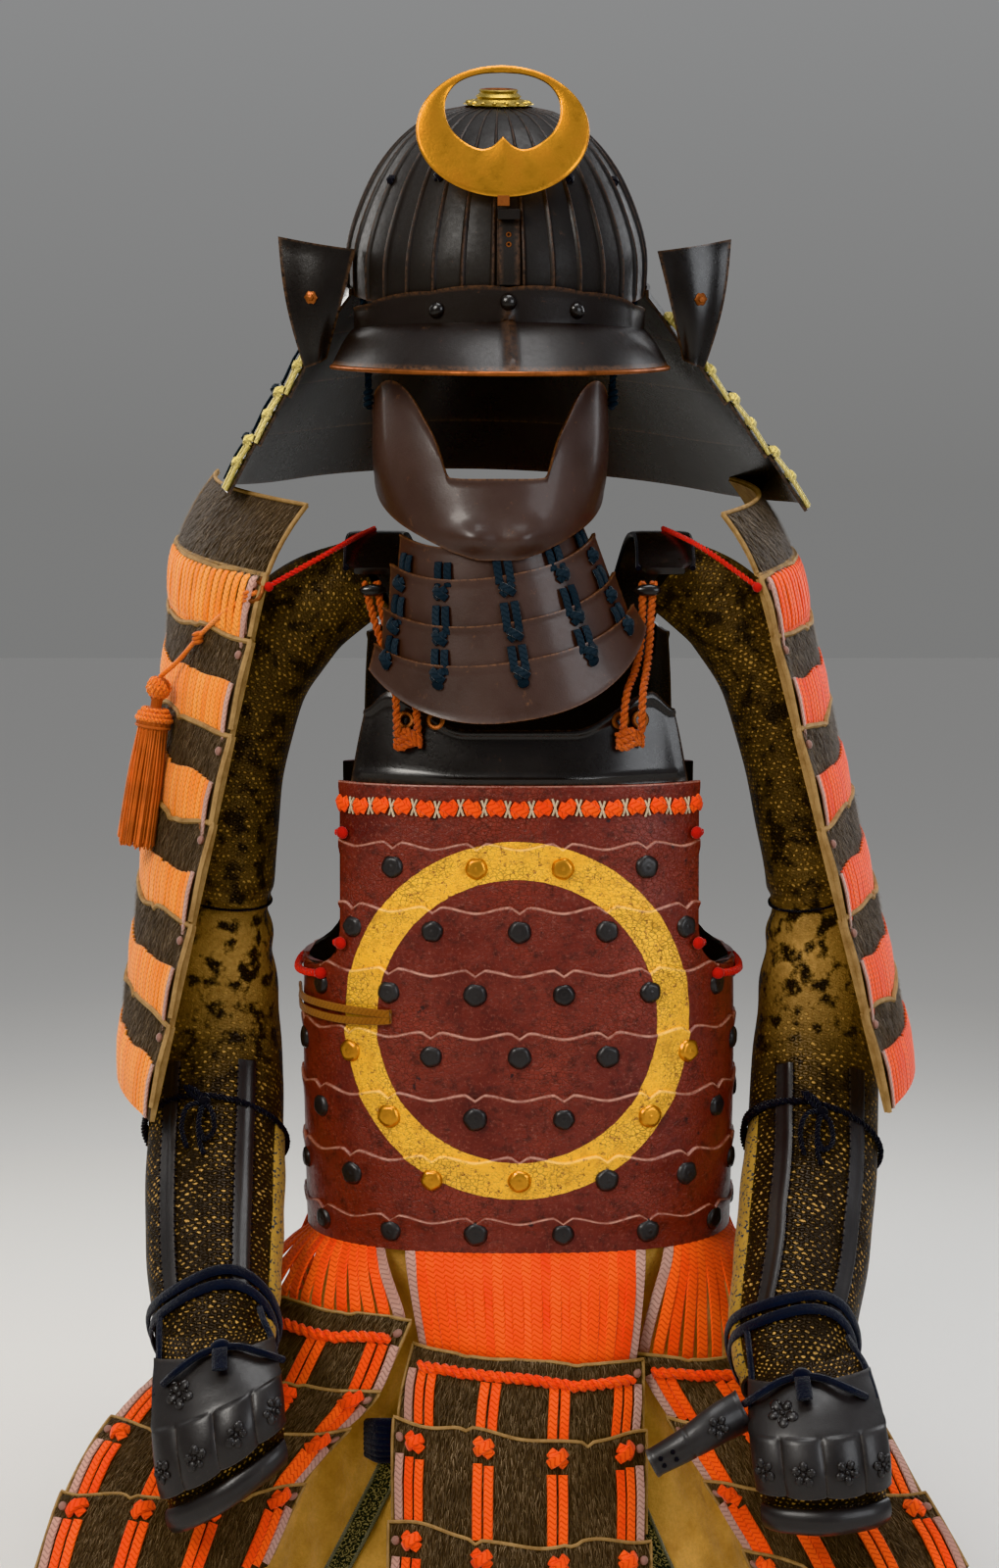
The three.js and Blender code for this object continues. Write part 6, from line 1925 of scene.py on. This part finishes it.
def make_thigh_guard():
    ts = np.linspace(0, 1, 91)
    zs = np.concatenate([np.linspace(-880, -600, 81), np.linspace(-594, -540, 8)])
    for name, sign in SIDES:
        face = thigh_face(sign)
        shape = Shape()

        def folds(t, z):
            free = smooth((-585 - z) / 60)
            pull = np.sin(31 * t + 0.03 * z + 1.6 * np.sin(0.031 * z + 5 * t)) * np.sin(0.021 * z + 3 * t)
            crush = np.sin(0.09 * z + 6 * np.sin(7 * t)) * np.sin(17 * t + 0.012 * z)
            return free * (2.9 * pull + 1.9 * crush + 0.8 * np.abs(np.sin(40 * t + 0.05 * z)))

        wall(shape, face, ts, zs, 2.4, folds, sign < 0)
        piece = shape.stand_for(f"thigh_panel_{name}", "cloth", TAN, slot="tan_cloth")
        state_sheet(face, ts, zs)
        strip = Shape()
        middle = (0.19, 0.42) if sign < 0 else (0.115, 0.15)
        wide = 0.035

        def band(t, v, face=face, middle=middle):
            return face(mix(*middle, v) + wide * t, mix(-690, -879, v))

        def padding(t, v):
            return 4.6 + 0.3 * np.sin(30 * v)

        wall(strip, band, np.linspace(-1, 1, 9), np.linspace(0, 1, 60), 0, padding, sign > 0)
        for edge in (-1, 1):
            v = np.linspace(0.01, 0.99, 80)
            p, _, _, n = frame_at(band, np.full(80, edge * 1.0), v, sign > 0)
            twist(strip, p + n * 4.8, 1.6, 4.5, 1)
        strip.make(f"thigh_strip_{name}", BROCADE, PIPING, slot="tan_cloth")
    bundle = Shape()
    centre = np.array([-102.0, -136, -712])
    for k in range(7):
        a = (k - 3) * 0.36
        path = spline([
            centre + (-19, 5, -2 + 11 * a), centre + (-9, -5 - 4 * math.cos(a), 13 * a),
            centre + (7, -6 - 4 * math.cos(a), 12 * a + 1), centre + (18, 4, 7 * a),
        ], 20)
        tube(bundle, path, 4.4, 10)
    bundle.make("waist_cord_bundle", NAVY_CLOTH, slot="navy_cord")


make_thigh_guard()

# Cords of the shoulder guards, and the tassel


def make_guard_cords():
    for name, sign in SIDES:
        guard = GUARDS[name]
        edge = guard_surface(guard, np.float64(-sign), np.float64(8))
        out = unit(edge - guard_surface(guard, np.float64(-sign * 0.99), np.float64(8)))
        _, _, _, n = frame_at(lambda t, d: guard_surface(guard, t, d), np.float64(-sign), np.float64(8))
        end = edge + out * 1.9 + n
        route = [(sign * 118, 2, 8.1), (sign * 129, -40, 3), (sign * 148, -82, -8), end]
        shape = Shape()
        twist(shape, spline(route, 60), 2.3, 8)
        blob(shape, end + out * 1.0, vec(4.0, 0, 0), vec(0, 4.0, 0), vec(0, 0, 4.0))
        shape.stand_for(f"guard_cord_{name}", "silk", RED, slot="red_cord")


make_guard_cords()

TASSEL_ROUTE = [(0.97, 14, 4.1), (0.8, 26, 4.3), (0.52, 54, 6.6), (0.3, 84, 12), (0.2, 100, 20)]


def make_tassel():
    def surface(t, depth):
        return guard_surface(GUARDS["left"], t, depth)

    route = []
    for t, depth, lift in TASSEL_ROUTE:
        p, _, _, n = spot(surface, t, depth)
        route.append(p - n * lift)
    path = spline(route, 80)
    line = Shape()
    tube(line, path, 2.0, 12)
    cord = line.stand_for("tassel_cord", "silk", CORD, slot="orange_lacing")
    ring_piece = Shape()
    p, x, y, n = spot(surface, 0.97, 14, True)
    a = np.linspace(0, 2 * math.pi, 40)[:, None]
    centre = p + n * 4 - x * 2
    loop = centre + (x * np.cos(a) + y * np.sin(a)) * 8 + n * 1.5 * np.sin(a)
    tube(ring_piece, loop, 1.7, 10)
    boss = [(5, 0), (5, 0.8), (3.6, 1.8), (1.6, 2.4), (0.05, 2.5)]
    lathe(ring_piece, p + n * 0.6 - y * 9, x, y, n, boss, 0, 18)
    ring_piece.make("shoulder_ring", COPPER, slot="brass")
    knots = Shape()
    for place in (8, 44):
        q = path[place]
        for k in range(3):
            blob(knots, q + (0, -0.5, 3.2 * (k - 1)), vec(5.0, 0, 1.0), vec(0, 4.0, 0), vec(0, 0, 2.4))
    knots.make("tassel_cord_knots", CORD, slot="orange_lacing")
    m = turned("y", 9, tuple(route[-1] - (0, 0, 1.1)))
    head = Shape()
    axes, top = (m[:3, 0], m[:3, 1], m[:3, 2]), m[:3, 3]
    profile = [
        (0.05, 1), (4, 0.2), (7.4, -3), (9, -8), (8, -13), (5.6, -16), (4.4, -19), (4.4, -24), (8, -26),
        (12, -29.5), (13.6, -34), (13.8, -39), (11.5, -43), (0.05, -43),
    ]
    lathe(head, top, *axes, profile[::-1], 0, 36, 18, 0.035)

    def hoop(h, r, count):
        a = np.linspace(0, 2 * math.pi, count)[:, None]
        return top + axes[2] * h + (axes[0] * np.cos(a) + axes[1] * np.sin(a)) * r

    ties = Shape()
    for k in range(4):
        a = np.linspace(0, 2 * math.pi, 41)[:, None]
        lean = k * math.pi / 4
        flat = axes[0] * math.cos(lean) + axes[1] * math.sin(lean)
        tall = axes[2] * 0.8 + np.cross(axes[2], flat) * 0.6
        twist(ties, top - axes[2] * 8 + (flat * np.cos(a) + tall * np.sin(a)) * 7.6, 3.2, 6)
    twist(ties, np.array([top - axes[2] * h for h in (14, 18, 22, 27)]), 4.2, 9)
    for h, r in ((-27, 9.5), (-30.5, 12.0), (-34, 13.4)):
        twist(ties, hoop(h, r, 61), 2.6, 6)
    ties.make("tassel_knot", CORD, slot="orange_lacing")
    tube(head, hoop(-40, 13.9, 37), 1.2, 6)
    for k in range(236):
        a = k * 2.39996
        r = 12.6 * math.sqrt((k + 0.5) / 236)
        out = axes[0] * math.cos(a) + axes[1] * math.sin(a)
        wander = rng.normal(0, 1.1, 3)
        end = -140 + rng.uniform(-1, 5)
        points = [top + axes[2] * -40 + out * r * 0.95, top + axes[2] * -75 + out * r * 1.05 + wander * 0.6]
        points.append(top + axes[2] * end + out * r * 1.08 + wander)
        tube(head, spline(points, 6), 0.8, 4, 0, rng.uniform(0, 0.3))
    head.stand_for("tassel", "silk", SILK, slot="orange_lacing")


make_tassel()

# Stage, in metres

FLOOR = -0.945
FLOOR_HALF = 14.0


def make_stage():
    mesh = bpy.data.meshes.new("floor")
    corners = [(x * FLOOR_HALF, y * FLOOR_HALF, FLOOR) for x, y in ((-1, -1), (1, -1), (1, 1), (-1, 1))]
    mesh.from_pydata(corners, [], [(0, 1, 2, 3)])
    look = Look("floor", Roughness=0.9, Specular_IOR_Level=0.1)
    look.set("Base Color", (0.66, 0.65, 0.63))
    mesh.materials.append(look.material)
    floor = bpy.data.objects.new("floor", mesh)
    bpy.context.scene.collection.objects.link(floor)
    # name, place, aim, watts, size, colour
    lamps = (
        ("key", (-1.5, -2.1, 1.3), (0, 0, -0.25), 46, 1.1, (1.0, 0.96, 0.9)),
        ("fill", (2.0, -1.9, 0.3), (0, 0, -0.3), 20, 1.4, (0.93, 0.96, 1.0)),
        ("top", (0.2, -0.4, 2.0), (0, 0, -0.2), 26, 1.3, (1.0, 1.0, 1.0)),
        ("rim_left", (-1.5, 1.2, 0.8), (0, 0, -0.2), 15, 1.2, (1.0, 0.97, 0.93)),
        ("rim_right", (1.5, 1.2, 0.6), (0, 0, -0.3), 15, 1.2, (0.95, 0.97, 1.0)),
    )
    for name, place, aim, watts, size, color in lamps:
        light = bpy.data.lights.new(name, "AREA")
        light.energy, light.size, light.color = watts, size, color
        lamp = bpy.data.objects.new(name, light)
        lamp.location = place
        direction = np.array(place) - np.array(aim)
        flat = math.hypot(direction[0], direction[1])
        lamp.rotation_euler = (math.atan2(flat, direction[2]), 0, math.atan2(direction[0], -direction[1]))
        bpy.context.scene.collection.objects.link(lamp)
    world = bpy.data.worlds.new("studio")
    world.use_nodes = True
    # Grey as the far floor at the horizon, and paler overhead
    nodes, links = world.node_tree.nodes, world.node_tree.links
    parts, ramp = nodes.new("ShaderNodeSeparateXYZ"), nodes.new("ShaderNodeValToRGB")
    links.new(nodes.new("ShaderNodeTexCoord").outputs["Generated"], parts.inputs["Vector"])
    links.new(parts.outputs["Z"], ramp.inputs["Fac"])
    links.new(ramp.outputs["Color"], nodes["Background"].inputs["Color"])
    low, high = ramp.color_ramp.elements
    low.position, low.color = 0.0, (0.56, 0.56, 0.555, 1)
    high.position, high.color = 0.45, (0.93, 0.94, 0.96, 1)
    nodes["Background"].inputs["Strength"].default_value = 0.42
    bpy.context.scene.world = world


make_stage()
bpy.context.scene.view_settings.view_transform = "Khronos PBR Neutral"
